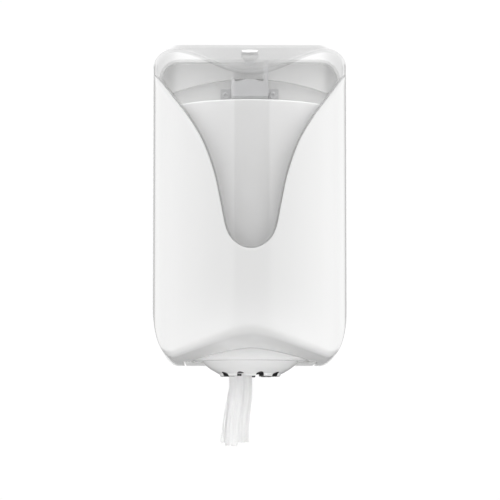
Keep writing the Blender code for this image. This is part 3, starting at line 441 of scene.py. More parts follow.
def makeFloor():
    # a plain pale floor, well under the body and out of the main view
    s = floorSettings
    finish = Finish("paleFloor")
    cloud = finish.noise(*s["cloud"])
    finish.use(Base_Color=finish.mix(cloud, s["tints"]), Roughness=s["roughness"] + cloud * s["cloudShare"])
    bm = bmesh.new()
    bmesh.ops.create_grid(bm, x_segments=1, y_segments=1, size=s["reach"])
    bmesh.ops.translate(bm, verts=bm.verts, vec=(0, 0, s["height"]))
    mesh = bpy.data.meshes.new("floor")
    bm.to_mesh(mesh)
    bm.free()
    mesh.materials.append(finish.material)
    floor = bpy.data.objects.new("floor", mesh)
    bpy.context.scene.collection.objects.link(floor)
    # the tent and the lamps alone light the body, so the floor's own glow stays out of it
    floor.visible_diffuse = floor.visible_glossy = floor.visible_shadow = False


blackSettings = {
    "tint": (0.012, 0.012, 0.013, 1), "roughness": 0.55, "grain": (1800, 2), "grainShare": 0.2,
    "grainDepth": 0.00003,
}


def makeBlack():
    s = blackSettings
    finish = Finish("blackMatte", Base_Color=s["tint"])
    grain = finish.noise(*s["grain"])
    finish.use(Roughness=s["roughness"] + grain * s["grainShare"])
    return finish.bump(grain, s["grainDepth"]).material


greySettings = {
    "tints": ((0.58, 0.58, 0.59), (0.64, 0.64, 0.65)), "roughness": 0.35, "grain": (2200, 2),
    "grainShare": 0.1, "grainDepth": 0.00002,
}


def makeGrey():
    s = greySettings
    finish = Finish("greyPlastic")
    grain = finish.noise(*s["grain"])
    finish.use(Base_Color=finish.mix(grain, s["tints"]), Roughness=s["roughness"] + grain * s["grainShare"])
    return finish.bump(grain, s["grainDepth"]).material


steelSettings = {
    "tints": ((0.68, 0.69, 0.70), (0.58, 0.59, 0.62)), "cloud": (160, 2), "roughness": 0.24,
    "streak": (900, 3, 0.6, (1, 1, 0.08)), "streakShare": 0.2, "streakDepth": 0.000012,
}


def makeSteel():
    # bright zinc plate: fine streaks and a slightly uneven lustre
    s = steelSettings
    finish = Finish("brightSteel", Metallic=1.0)
    streak = finish.noise(*s["streak"])
    tint = finish.mix(finish.noise(*s["cloud"]), s["tints"])
    finish.use(Base_Color=tint, Roughness=s["roughness"] + streak * s["streakShare"])
    return finish.bump(streak, s["streakDepth"]).material


paperSettings = {
    "tints": ((0.96, 0.96, 0.96), (0.9216, 0.9168, 0.912)), "cloud": (24, 3),
    "sheen": 0.25, "sheenRoughness": 0.5, "roughness": 0.9, "fibre": (900, 4, 0.65), "fibreShare": 0.06,
    "dotPitch": 0.0022, "dotHeight": 0.5, "fibreHeight": 0.8, "depth": 0.00004, "strength": 0.6,
}


def makeRollPaper():
    # wound tissue: rows of small embossed dots and soft fibres
    s = paperSettings
    finish = Finish("rollPaper", Sheen_Weight=s["sheen"], Sheen_Roughness=s["sheenRoughness"])
    across, along = finish.parts(finish.node("TexCoord", output="UV"))
    turns = math.tau / s["dotPitch"]
    dots = (across * turns).sine() * (along * turns).sine()
    fibre = finish.noise(*s["fibre"])
    tint = finish.mix(finish.noise(*s["cloud"]), s["tints"])
    height = dots * s["dotHeight"] + fibre * s["fibreHeight"]
    finish.use(Base_Color=tint, Roughness=s["roughness"] + fibre * s["fibreShare"])
    return finish.bump(height, s["depth"], s["strength"]).material


endSettings = {
    "tints": ((0.864, 0.864, 0.864), (0.96, 0.96, 0.96)), "band": (0.35, 0.65), "offset": (0, 0.085, 0),
    "sheen": 0.2, "sheenRoughness": 0.5, "layers": 1500, "bands": 260, "bandShare": 0.5,
    "roughness": 0.92, "fibre": (1100, 3, 0.6), "fibreShare": 0.04, "depth": 0.0004, "strength": 0.7,
}


def makeRollEnds():
    # the roll's end faces: the edges of the wound layers, as fine uneven rings about its axis
    s = endSettings
    finish = Finish("rollEnds", Sheen_Weight=s["sheen"], Sheen_Roughness=s["sheenRoughness"])
    x, y = finish.parts(finish.place(offset=s["offset"]))
    radius = (x * x + y * y) ** 0.5
    layers = finish.rings(radius, s["layers"])
    bands = finish.rings(radius, s["bands"]) * s["bandShare"]
    tint = finish.mix(finish.between(bands + layers * (1 - s["bandShare"]), s["band"]), s["tints"])
    finish.use(Base_Color=tint, Roughness=s["roughness"] + finish.noise(*s["fibre"]) * s["fibreShare"])
    return finish.bump(layers + bands, s["depth"], s["strength"]).material


tailSettings = {
    "tints": ((0.985, 0.985, 0.985), (0.95545, 0.952495, 0.948555)), "cloud": (90, 3),
    "sheen": 0.2, "sheenRoughness": 0.5, "roughness": 0.88, "fibre": (1300, 4, 0.7), "fibreShare": 0.08,
    "creases": (520, 4, 0.6, (1, 0.09, 1), "UV"), "alpha": 0.75, "creaseAlpha": 0.2,
    "fibreHeight": 0.5, "depth": 0.00012, "strength": 0.6,
}


def makeTailPaper():
    # the gathered web: fibres and fine creases that run down it
    s = tailSettings
    finish = Finish("tailPaper", Sheen_Weight=s["sheen"], Sheen_Roughness=s["sheenRoughness"])
    creases, fibre = finish.noise(*s["creases"]), finish.noise(*s["fibre"])
    tint = finish.mix(finish.noise(*s["cloud"]), s["tints"])
    rough = s["roughness"] + fibre * s["fibreShare"]
    finish.use(Base_Color=tint, Roughness=rough, Alpha=s["alpha"] + creases * s["creaseAlpha"])
    return finish.bump(creases + fibre * s["fibreHeight"], s["depth"], s["strength"]).material


whiteGloss, whiteSatin, smokyClear = makeGloss(), makeSatin(), makeSmoky()
smokyEdgeAndShadowLine, smokyFoldPaintedShade = makeSmokyEdgeAndShadowLine(), makeSmokyFoldPaintedShade()
blackMatte, greyPlastic, brightSteel = makeBlack(), makeGrey(), makeSteel()
makeFloor()
rollPaper, rollEnds, tailPaper = makeRollPaper(), makeRollEnds(), makeTailPaper()
slotFinishes = {
    "white_gloss": whiteGloss, "white_satin": whiteSatin, "smoky_clear": smokyClear,
    "black_matte": blackMatte, "grey_plastic": greyPlastic, "bright_steel": brightSteel,
    "white_paper": rollPaper,
}
for row in frame["record"]["subparts"]:
    mesh = nodes[row["node"]].data
    mesh.materials.clear()
    mesh.materials.append(slotFinishes[row["material_slot"]])
print("finishes ready")


# the body's skin: the same curves as the solids, with many more points

body = {
    "halfWidth": 0.090, "depth": 0.175, "footZ": -0.151, "topZ": 0.151, "height": 0.302,
    "planPower": 2.4, "wall": 0.0025, "rear": 0.001, "middle": (0, -0.06, 0),
    "slopeCentre": 0.286, "slopeSide": 0.182, "slopeBlend": 0.067, "topCorner": 0.025,
    "bellyRise": 0.0255, "bellyPower": 3.3, "edgePower": 1.5, "fallPower": 1.7,
    "lowCornerWidth": 0.0245, "lowCornerHeight": 0.062,
    "lowFillet": 0.007, "topFillet": 0.0035, "filletShare": 0.3,
    "columns": 300, "wallSteps": 26, "tongueSteps": 24, "sharpAngle": 40,
}
tongueShares = (
    (0, 0.3215), (0.088, 0.3269), (0.179, 0.3467), (0.242, 0.3821), (0.291, 0.4526), (0.356, 0.5407),
    (0.464, 0.6315), (0.611, 0.7096), (0.806, 0.7960), (1.0, 0.8907), (1.15, 0.9650),
)


def planDepth(x):
    share = min(abs(x) / body["halfWidth"], 1)
    return body["depth"] * (1 - share ** body["planPower"]) ** (1 / body["planPower"])


def topHeight(x, out):
    blend = (1 - min(abs(x) / body["slopeBlend"], 1) ** 2) ** 2
    slope = body["slopeSide"] + (body["slopeCentre"] - body["slopeSide"]) * blend
    over = max(abs(x) - (body["halfWidth"] - body["topCorner"]), 0)
    drop = body["topCorner"] - math.sqrt(max(body["topCorner"] ** 2 - over ** 2, 0))
    return body["topZ"] - slope * out - drop


def bellyHeight(x, out):
    share = min(abs(x) / body["halfWidth"], 1)
    rise = body["bellyRise"] * (1 - share ** body["edgePower"]) ** body["fallPower"]
    depth = planDepth(x)
    sweep = min(max(out, 0) / depth, 1) ** body["bellyPower"] if depth > mergeDistance else 1
    over = max(abs(x) - (body["halfWidth"] - body["lowCornerWidth"]), 0) / body["lowCornerWidth"]
    return body["footZ"] + rise * sweep + body["lowCornerHeight"] * (1 - math.sqrt(max(1 - over ** 2, 0)))


def bend(before, corner, after, steps):
    points = []
    for k in range(1, steps + 1):
        share = k / steps
        points.append(before.lerp(corner, share).lerp(corner.lerp(after, share), share))
    return points


def spaced(first, last, steps):
    # points from just past the first to the last
    return [first.lerp(last, k / steps) for k in range(1, steps + 1)]


def columnXs(marks=()):
    # where the columns stand: close together at the sides, and one at each mark
    turns = [-math.cos(math.pi * k / body["columns"]) for k in range(body["columns"] + 1)]
    xs = [math.copysign(body["halfWidth"] * abs(turn) ** (2 / body["planPower"]), turn) for turn in turns]
    for mark in marks:
        nearest = min(range(len(xs)), key=lambda k: abs(xs[k] - mark))
        xs[nearest] = mark
    return xs


def tongueLine(grow):
    # the joint of cover and window, seen from the front, moved out by a distance
    right = [Vector((body["halfWidth"] * across, body["footZ"] + body["height"] * up))
             for across, up in tongueShares]
    left = [Vector((-point.x, point.y)) for point in reversed(right[1:])]
    line = smoothThrough(left + right, body["tongueSteps"])
    moved = []
    for k, point in enumerate(line):
        along = line[min(k + 1, len(line) - 1)] - line[max(k - 1, 0)]
        moved.append(point + grow * Vector((along.y, -along.x)).normalized())
    return moved


def heightOn(line, x):
    for first, last in zip(line, line[1:]):
        if first.x <= x <= last.x:
            return first.y + (last.y - first.y) * (x - first.x) / max(last.x - first.x, mergeDistance)
    return line[0].y if x < line[0].x else line[-1].y


def frontWall(x):
    # how far out the front wall of a column stands, and the most that a bend may take of it
    out = max(planDepth(x), body["rear"])
    return out, body["filletShare"] * (out - body["rear"])


def carve(piece, bm):
    # takes a closed shape out of a piece
    mesh = bpy.data.meshes.new("cutter")
    bm.to_mesh(mesh)
    bm.free()
    cutter = bpy.data.objects.new("cutter", mesh)
    bpy.context.scene.collection.objects.link(cutter)
    addModifier(piece, "BOOLEAN", operation="DIFFERENCE", object=cutter, solver="EXACT", use_self=True)
    applyModifiers(piece)
    bpy.data.objects.remove(cutter)


def shellPiece(name, bm, material, wall, rim, edge=None):
    # gives a skin its wall, inwards, and softens the wall's rims
    faceOut(bm, Vector(body["middle"]))
    piece = newPiece(name, bm, material, "cover")
    if edge:
        piece.data.materials.append(edge)
    addModifier(piece, "SOLIDIFY", thickness=wall, offset=-1, use_even_offset=True, use_rim=True,
                material_offset_rim=1 if edge else 0)
    addBevel(piece, rim)
    applyModifiers(piece)
    shadeSmooth(piece.data, body["sharpAngle"])
    return piece


# the cover: a thin shell with a cut-out for the shelf and the nozzle, and two hinge ears

cover = {
    "edgeGap": 0.0004, "rimBevel": 0.0004, "cutoutHalfWidth": 0.060, "cutoutOut": 0.088, "cutoutShare": 0.613,
    "nozzleOut": 0.085, "nozzleRadius": 0.0525, "notchOut": 0.007, "notchShare": 0.25,
    "notchHalfWidth": 0.0784, "bellyBand": 0.0004,
    "rearSteps": 2, "cutoutSteps": 12, "bellySteps": 14, "bellySpread": 0.9, "bendSteps": 10,
    "earGap": 0.0003, "earThickness": 0.004, "earRadius": 0.0055, "earReach": 0.014,
    "hingeOut": 0.010, "hingeUp": 0.0093, "earSteps": 24, "earBevel": 0.0004, "earSharp": 50,
}


def coverBreaks(x):
    # how far out the belly's cut-outs end, for this column
    depth = planDepth(x)
    notch = min(cover["notchOut"], cover["notchShare"] * depth)
    if abs(x) > cover["cutoutHalfWidth"]:
        return notch, min(cover["cutoutOut"], cover["cutoutShare"] * depth)
    hole = cover["nozzleOut"] + math.sqrt(max(cover["nozzleRadius"] ** 2 - x ** 2, 0))
    return notch, max(cover["cutoutOut"], hole)


def coverColumn(x, line):
    s, rear = cover, body["rear"]
    out, most = frontWall(x)
    reach = min(body["lowFillet"], most)
    corner = Vector((x, -out, bellyHeight(x, out)))
    bellyEnd = out - reach
    notch, cutout = coverBreaks(x)
    notch, cutout = min(max(notch, rear), bellyEnd), min(cutout, bellyEnd)
    outs = [rear + (notch - rear) * k / s["rearSteps"] for k in range(s["rearSteps"] + 1)]
    outs += [notch + (cutout - notch) * k / s["cutoutSteps"] for k in range(1, s["cutoutSteps"] + 1)]
    outs += [cutout + (bellyEnd - cutout) * (k / s["bellySteps"]) ** s["bellySpread"]
             for k in range(1, s["bellySteps"] + 1)]
    belly = [Vector((x, -at, bellyHeight(x, at))) for at in outs]
    wallLow = corner + Vector((0, 0, reach))
    end = Vector((x, -out, max(heightOn(line, x), wallLow.z + hairGap)))
    bent = bend(belly[-1], corner, wallLow, s["bendSteps"])
    return belly + bent + spaced(wallLow, end, body["wallSteps"])


def makeCover():
    s = cover
    edges = (s["cutoutHalfWidth"], s["notchHalfWidth"], s["nozzleRadius"])
    marks = [side * at for at in edges for side in (-1, 1)]
    line = tongueLine(s["edgeGap"])
    bm = mappedGrid([coverColumn(x, line) for x in columnXs(marks)])

    def cutAway(face):
        spot = face.calc_center_median()
        notch, cutout = coverBreaks(spot.x)
        out, onBelly = -spot.y, spot.z < bellyHeight(spot.x, -spot.y) + s["bellyBand"]
        inCutout = abs(spot.x) < s["cutoutHalfWidth"] and out < cutout
        inNotch = abs(spot.x) < s["notchHalfWidth"] and out < notch
        return onBelly and (inCutout or inNotch)

    bmesh.ops.delete(bm, geom=[face for face in bm.faces if cutAway(face)], context="FACES")
    shell = shellPiece("coverShell", bm, whiteGloss, body["wall"], s["rimBevel"])
    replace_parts(shell, "front_cover")
    for side in (-1, 1):
        makeEar(side)


def makeEar(side):
    # the hinge ear: round about the pin, its foot on the cover's floor
    s = cover
    out, up, radius, foot = s["hingeOut"], s["hingeUp"], s["earRadius"], body["wall"] / 2
    front = out + s["earReach"]
    points = arcPoints((out, up), (-radius, radius), 90, -90, s["earSteps"])
    points += [(out, foot), (front, foot), (front, up), (front - radius, up + radius)]
    x = side * (s["cutoutHalfWidth"] + s["earGap"])
    bm = bmesh.new()
    face = bm.faces.new([bm.verts.new((x, -out, body["footZ"] + up)) for out, up in points])
    made = bmesh.ops.extrude_face_region(bm, geom=[face])
    moved = [item for item in made["geom"] if isinstance(item, bmesh.types.BMVert)]
    bmesh.ops.translate(bm, verts=moved, vec=(side * s["earThickness"], 0, 0))
    bmesh.ops.recalc_face_normals(bm, faces=bm.faces)
    bmesh.ops.bevel(bm, geom=sharpEdges(bm, s["earSharp"]), offset=s["earBevel"], offset_type="OFFSET",
                    segments=2, profile=0.5, affect="EDGES", clamp_overlap=True, material=-1)
    name = "coverEar" + ("Left" if side < 0 else "Right")
    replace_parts(newPiece(name, bm, whiteGloss, "cover", s["earSharp"]), "front_cover")


def sharpEdges(bm, angle):
    folded = [edge for edge in bm.edges if len(edge.link_faces) == 2]
    return [edge for edge in folded if edge.calc_face_angle() > math.radians(angle)]


# the window: the whole top and a tongue down the front, with a flange inside the cover's wall

window = {
    "rimBevel": 0.00045, "bendSteps": 8, "rearStrip": 0.003,
    # the hole for the lock and its sink, measured along the lock's axis
    "holeRadius": 0.0068, "sinkRadius": 0.0083, "sinkDepth": 0.0015, "holeDepth": 0.006, "holeRise": 0.004,
    "holeSteps": 48,
    # how dark the painted shade along the fold is at each row of a column, and where its finish starts
    "foldPaintedShades": {27: 0.7, 28: 1, 29: 1, 30: 1, 31: 1, 32: 1, 33: 1, 34: 0.8, 35: 0.6, 36: 0.25},
    "foldShadeStart": 0.3,
    "flangeIn": 0.0028, "flangeOut": 0.0043, "flangeReach": 0.005, "flangeRoot": 0.0012,
    "flangeSteps": 6, "flangeBevel": 0.0002,
}
lockJoint = next(joint for joint in frame["record"]["behaviour"]["joints"] if joint["name"] == "lock_turn")


def windowColumn(x, line):
    out, most = frontWall(x)
    reach = min(body["topFillet"], most)
    corner = Vector((x, -out, topHeight(x, out)))
    wallTop = corner - Vector((0, 0, reach))
    start = Vector((x, -out, min(heightOn(line, x), wallTop.z - hairGap)))
    roofStart = Vector((x, -(out - reach), topHeight(x, out - reach)))
    roofEnd = Vector((x, -body["rear"], topHeight(x, body["rear"])))
    wall, roof = spaced(start, wallTop, body["wallSteps"]), spaced(roofStart, roofEnd, body["wallSteps"])
    return [start] + wall + bend(wallTop, corner, roofStart, window["bendSteps"]) + roof


def makeWindow():
    s = window
    line = tongueLine(0)
    bm = mappedGrid([windowColumn(x, line) for x in columnXs()], "fold", s["foldPaintedShades"])
    wall, rim = body["wall"], s["rimBevel"]
    shell = shellPiece("windowShell", bm, smokyClear, wall, rim, smokyEdgeAndShadowLine)
    shell.data.materials.append(smokyFoldPaintedShade)
    shades = shell.data.attributes["fold"].data
    # the rim at the back stays clear, and faces along the fold take the fold's painted shade
    for face in shell.data.polygons:
        if face.center.y > -s["rearStrip"]:
            face.material_index = 0
        elif max(shades[vert].value for vert in face.vertices) > s["foldShadeStart"]:
            face.material_index = 2
    profile = [
        (0, -s["holeDepth"]), (s["holeRadius"], -s["holeDepth"]), (s["holeRadius"], -s["sinkDepth"]),
        (s["sinkRadius"], -s["sinkDepth"]), (s["sinkRadius"], s["holeRise"]), (0, s["holeRise"]),
    ]
    hole = turned(profile, s["holeSteps"], (0, 0, 0))
    turn = Vector((0, 0, -1)).rotation_difference(Vector(lockJoint["axis"])).to_matrix().to_4x4()
    bmesh.ops.transform(hole, verts=hole.verts, matrix=Matrix.Translation(lockJoint["pos_m"]) @ turn)
    carve(shell, hole)
    shadeSmooth(shell.data, body["sharpAngle"])
    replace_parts(shell, "window")


def insetColumn(x, inset, start, stop):
    # the front wall of a column, set in from the body's surface, from one height to another
    inner, halfIn = body["depth"] - inset, body["halfWidth"] - inset
    share = min(abs(x) / halfIn, 1)
    out = max(inner * (1 - share ** body["planPower"]) ** (1 / body["planPower"]), body["rear"])
    stop = min(stop, topHeight(x, out) - inset)
    start = min(start, stop - hairGap)
    steps = window["flangeSteps"]
    return [Vector((x, -out, start + (stop - start) * k / steps)) for k in range(steps + 1)]


def makeFlange():
    # the window's flange: a strip inside the cover's wall, along the whole of the joint
    s = window
    low, high = tongueLine(s["flangeReach"]), tongueLine(-s["flangeRoot"])
    halfIn = body["halfWidth"] - s["flangeIn"]
    xs = [x * halfIn / body["halfWidth"] for x in columnXs()]
    bm = mappedGrid([insetColumn(x, s["flangeIn"], heightOn(low, x), heightOn(high, x)) for x in xs])
    wall = s["flangeOut"] - s["flangeIn"]
    flange = shellPiece("windowFlange", bm, smokyClear, wall, s["flangeBevel"])
    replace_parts(flange, "window")


# the softened nodes: a CAD node's own shape with its sharp edges rounded

softWidths = {
    "back_housing": 0.0005, "roll_shelf": 0.0004, "lock_striker": 0.0004, "nozzle_liner": 0.0002,
    "lock_body": 0.00025, "lock_nut": 0.0004, "lock_core": 0.00015, "lock_cam": 0.0003,
    "cam_screw": 0.00015, "hinge_pin_left": 0.0003, "hinge_pin_right": 0.0003,
}
for group, count in (("shelf_screw", 4), ("striker_screw", 2), ("collar_screw", 3)):
    for number in range(1, count + 1):
        softWidths[f"{group}_{number}"] = softWidths["cam_screw"]
softening = {"flatAngle": 0.6, "bevelAngle": 36, "sharpAngle": 50, "squareShare": 0.9999}
bodies = frame["record"]["behaviour"]["bodies"]
bodyOf = {node: bodyName for bodyName, names in bodies.items() for node in names}
slotOf = {row["node"]: row["material_slot"] for row in frame["record"]["subparts"]}


def camelName(node):
    first, *rest = node.split("_")
    return first + "".join(word.capitalize() for word in rest)


def softenNode(node, width):
    bm = bmesh.new()
    bm.from_mesh(nodes[node].data)
    bmesh.ops.remove_doubles(bm, verts=bm.verts, dist=mergeDistance)
    flat = math.radians(softening["flatAngle"])
    bmesh.ops.dissolve_limit(bm, angle_limit=flat, verts=bm.verts, edges=bm.edges)
    # a concave face can be filled wrongly when it is cut into triangles, so it is split first
    bmesh.ops.connect_verts_concave(bm, faces=bm.faces)
    piece = newPiece(camelName(node) + "Soft", bm, slotFinishes[slotOf[node]], bodyOf[node])
    addBevel(piece, width, softening["bevelAngle"])
    applyModifiers(piece)
    piece.data.set_sharp_from_angle(angle=math.radians(softening["sharpAngle"]))
    for face in piece.data.polygons:
        face.use_smooth = max(abs(part) for part in face.normal) < softening["squareShare"]
    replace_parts(piece, node)


# the nozzle: a turned collar, and a bowl whose mouth has ten lobes

nozzle = {
    "centre": (0, -0.085, -0.151), "steps": 180, "neck": 0.0431, "neckGap": 0.0003,
    "collarRadius": 0.0515, "collarLow": 0.0012, "collarTop": 0.0194, "collarWall": 0.0025,
    "collarFillet": 0.003, "collarSoft": 0.0004, "turnedSharp": 40, "ledge": 0.0027, "ledgeFillet": 0.001,
    "bossRadius": 0.0036, "bossLow": 0.0074, "bossTop": 0.0191, "bossCentre": 0.0462, "bossBore": 0.0022,
    "bossAngles": (90, 210, 330), "bossSteps": 32, "filletSteps": 10, "ledgeSteps": 4,
    "lipRadius": 0.0455, "lipLow": 0.0042, "lipTop": 0.0062, "cupSoft": 0.0005,
    "drop": 0.012, "teeth": 0.015, "bowlWall": 0.002, "bowlSteps": 5, "mouthBevel": 0.0005, "cupSharp": 45,
    # points of the bowl as shares of the neck's radius and of the drop above the mouth
    "bowl": (
        (0.991, 1.067), (0.935, 0.858), (0.842, 0.583), (0.724, 0.325), (0.650, 0.183), (0.626, 0.033),
        (0.603, 0),
    ),
    "inner": ((0.580, 0.183), (0.691, 0.475), (0.812, 0.733), (0.900, 1.0), (0.942, 1.167)),
    "lobes": 10, "lobeCentre": 0.021, "lobeLength": 0.010, "lobeHalfWidth": 0.0046, "lobeSteps": 48,
    "lobeDepth": 0.022,
    # which faces are a lobe's walls, painted black as shade: upright ones, this near to the lobe's oval
    "shadedWallUpright": 0.2, "shadedWallBand": (0.8, 1.1),
}


def rounded(centre, radius, start, end, steps=3):
    return arcPoints(centre, (radius, radius), start, end, steps)


def makeCollar():
    s = nozzle
    outer, low, top = s["collarRadius"], s["collarLow"], s["collarTop"]
    soft, fillet = s["collarSoft"], s["collarFillet"]
    inner, bore = outer - s["collarWall"], s["neck"] + s["neckGap"]
    ledge, ledgeFillet = low + s["ledge"], s["ledgeFillet"]
    profile = rounded((bore + soft, low + soft), soft, 180, 270)
    profile += rounded((outer - fillet, low + fillet), fillet, -90, 0, s["filletSteps"])
    profile += rounded((outer - soft, top - soft), soft, 0, 90)
    profile += rounded((inner + soft, top - soft), soft, 90, 180)
    profile += rounded((inner - ledgeFillet, ledge + ledgeFillet), ledgeFillet, 0, -90, s["ledgeSteps"])
    profile += rounded((bore + soft, ledge - soft), soft, 90, 180)
    bm = turned(profile, s["steps"], s["centre"])
    bore, radius, low, top = s["bossBore"], s["bossRadius"], s["bossLow"], s["bossTop"]
    for angle in s["bossAngles"]:
        turn = math.radians(angle)
        spot = Vector(s["centre"]) + Vector((math.cos(turn), math.sin(turn), 0)) * s["bossCentre"]
        boss = turned([(bore, low), (radius, low), (radius, top), (bore, top)], s["bossSteps"], spot)
        spare = bpy.data.meshes.new("boss")
        boss.to_mesh(spare)
        boss.free()
        bm.from_mesh(spare)
    collar = newPiece("nozzleCollarRing", bm, whiteGloss, "root", s["turnedSharp"])
    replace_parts(collar, "nozzle_collar")


def cupPoints(shares):
    points = [Vector((nozzle["neck"] * across, nozzle["drop"] * (up - 1))) for across, up in shares]
    return [tuple(point) for point in smoothThrough(points, nozzle["bowlSteps"])]


def makeCup():
    s = nozzle
    soft, lip, teeth, foot, centre = s["cupSoft"], s["lipRadius"], s["teeth"], -s["drop"], Vector(s["centre"])
    profile = rounded((lip - soft, s["lipTop"] - soft), soft, 90, 0)
    profile += rounded((lip - soft, s["lipLow"] + soft), soft, 0, -90)
    profile += [(s["neck"], s["lipLow"])] + cupPoints(s["bowl"]) + [(teeth + soft, foot)]
    profile += rounded((teeth + soft, foot + soft), soft, 270, 180)
    profile += [(teeth, s["bowlWall"] + foot)] + cupPoints(s["inner"])
    profile += [(s["neck"] * s["inner"][-1][0], s["lipTop"])]
    bowl = turned(profile, s["steps"], s["centre"])
    cup = newPiece("nozzleCupBowl", bowl, whiteGloss, "root", s["turnedSharp"])
    cutter = bmesh.new()
    sector = math.tau / s["lobes"]
    for k in range(s["lobes"]):
        made = bmesh.ops.create_cone(cutter, cap_ends=True, cap_tris=False, segments=s["lobeSteps"],
                                     radius1=1, radius2=1, depth=s["lobeDepth"])
        turn = Matrix.Rotation(sector * k, 4, "Z") @ Matrix.Translation((s["lobeCentre"], 0, foot))
        bmesh.ops.scale(cutter, verts=made["verts"], vec=(s["lobeLength"], s["lobeHalfWidth"], 1))
        bmesh.ops.transform(cutter, verts=made["verts"], matrix=Matrix.Translation(centre) @ turn)
    carve(cup, cutter)
    # the lobes' walls take the black finish: painted shade for the dark inside of the holes
    cup.data.materials.append(blackMatte)
    for face in cup.data.polygons:
        arm = face.center - centre
        turn = math.atan2(arm.y, arm.x) % sector
        turn -= sector if turn > sector / 2 else 0
        along = (arm.xy.length * math.cos(turn) - s["lobeCentre"]) / s["lobeLength"]
        across = arm.xy.length * math.sin(turn) / s["lobeHalfWidth"]
        inPaintedShade = s["shadedWallBand"][0] < along ** 2 + across ** 2 < s["shadedWallBand"][1]
        face.material_index = 1 if inPaintedShade and abs(face.normal.z) < s["shadedWallUpright"] else 0
    addBevel(cup, s["mouthBevel"], segments=3)
    applyModifiers(cup)
    shadeSmooth(cup.data, s["cupSharp"])
    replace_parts(cup, "nozzle_cup")


# the roll: wound paper, hollow in the middle, with a loose last edge down its side

roll = {
    "radius": 0.075, "core": 0.028, "low": 0.024, "high": 0.229, "edge": 0.0018, "webStep": 0.0006,
    "coreWave": 0.0007, "wavePitch": (60, 25), "dish": 0.0009, "endNormal": 0.7, "sharp": 40,
    "steps": 180, "sideSteps": 24, "edgeSteps": 5, "rings": 16, "coreSteps": 20,
}


def makeRoll():
    s = roll
    low, high, edge, core = body["footZ"] + s["low"], body["footZ"] + s["high"], s["edge"], s["core"]
    axis = Vector((0, nozzle["centre"][1], 0))
    side = [(s["radius"], low + edge + (high - low - 2 * edge) * k / s["sideSteps"])
            for k in range(s["sideSteps"] + 1)]
    profile = rounded((s["radius"] - edge, low + edge), edge, -90, 0, s["edgeSteps"])[:-1] + side
    profile += rounded((s["radius"] - edge, high - edge), edge, 0, 90, s["edgeSteps"])[1:]
    span = s["radius"] - edge - core
    rings = [(core + span * (1 - k / s["rings"]), s["dish"] * math.sin(math.pi * k / s["rings"]))
             for k in range(1, s["rings"] + 1)]
    profile += [(radius, high - dish) for radius, dish in rings]
    profile += [(core, high - (high - low) * k / s["coreSteps"]) for k in range(1, s["coreSteps"])]
    profile += [(radius, low + dish) for radius, dish in reversed(rings)]
    bm = turned(profile, s["steps"], axis)
    for vert in bm.verts:
        arm = Vector((vert.co.x, vert.co.y - axis.y))
        turn = math.atan2(arm.y, arm.x) % math.tau
        reach = arm.length
        if reach > s["radius"] - edge - mergeDistance:
            reach -= s["webStep"] * (1 - turn / math.tau)
        if reach < core + mergeDistance:
            across, up = s["wavePitch"]
            reach += s["coreWave"] * noise.noise(Vector((arm.x * across, arm.y * across, vert.co.z * up)))
        vert.co.x, vert.co.y = arm.normalized() * reach + axis.xy
    layer = bm.loops.layers.uv.new("UVMap")
    for face in bm.faces:
        middle = face.calc_center_median()
        turnHere = math.atan2(middle.y - axis.y, middle.x) % math.tau
        face.material_index = 1 if abs(face.normal.z) > s["endNormal"] else 0
        for loop in face.loops:
            turn = math.atan2(loop.vert.co.y - axis.y, loop.vert.co.x) % math.tau
            turn += math.tau if turnHere - turn > math.pi else -math.tau if turn - turnHere > math.pi else 0
            loop[layer].uv = (turn * s["radius"], loop.vert.co.z)
    made = newPiece("paperRollWound", bm, rollPaper, "root", s["sharp"])
    made.data.materials.append(rollEnds)
    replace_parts(made, "paper_roll")


# the tail: the web folded into flat pleats, one behind the other, and drawn down through the mouth

tail = {
    "web": 0.205, "thickness": 0.0002, "seed": 3, "sharp": 80,
    "runSteps": 16, "levels": 120, "sectionSteps": 12,
    # up, centre x, width, half depth and lean forward, in millimetres
    "sections": (
        (75, -20.5, 11, 3.0, 0), (50, -18.5, 13, 3.2, 0), (24, -13, 16, 3.2, 0), (2, -10, 19, 3.0, 0),
        (-12, -8.8, 20.5, 2.8, 0), (-21, -8.6, 20.8, 3.2, 0), (-32, -9.8, 22.2, 3.8, -1),
        (-50, -12.2, 23.8, 4.2, -2), (-65, -13.4, 24.8, 4.4, -2), (-74, -13.8, 25.2, 4.4, -2),
    ),
    # where the pleats turn, as shares of the width, from the front one to the back one
    "leftFolds": (-0.20, -0.34, -0.30, -0.44, -0.40, -0.50, -0.47),
    "rightFolds": (0.10, 0.06, 0.24, 0.20, 0.36, 0.33, 0.50),
    "turnPower": 8, "foldWander": 0.035, "wanderPitch": 28, "wanderStep": 3.7, "frontWander": 0.3,
    # ripples grow below the mouth; the end is cut unevenly and torn into small teeth
    "ripple": 0.00055, "ripplePitch": 0.0056, "rippleTop": 0.35, "rippleStart": 0.008, "rippleRun": 0.03,
    "rippleDrift": 40, "rippleNoise": 1.3, "ripplePlace": (90, 12),
    "endRise": (0.0022, 0.0, 0.0030, 0.0042, 0.0034, 0.0046, 0.0040), "endSlope": 0.2, "endStart": 0.75,
    "teeth": 0.00035, "teethPerRun": 14, "teethPitch": 2.4,
}


def tailSection(share):
    # up, centre, width, half depth and lean at a share of the way down
    sections, steps = tail["sections"], tail["sectionSteps"]
    fine = smoothThrough([Vector(row[1:]) for row in sections], steps)
    ups = [point.x for point in smoothThrough([Vector((row[0], 0)) for row in sections], steps)]
    up = sections[0][0] + (sections[-1][0] - sections[0][0]) * share
    for k in range(len(ups) - 1):
        if ups[k] >= up >= ups[k + 1]:
            part = (ups[k] - up) / max(ups[k] - ups[k + 1], mergeDistance)
            return up / 1000, fine[k].lerp(fine[k + 1], part) / 1000
    return up / 1000, fine[-1] / 1000


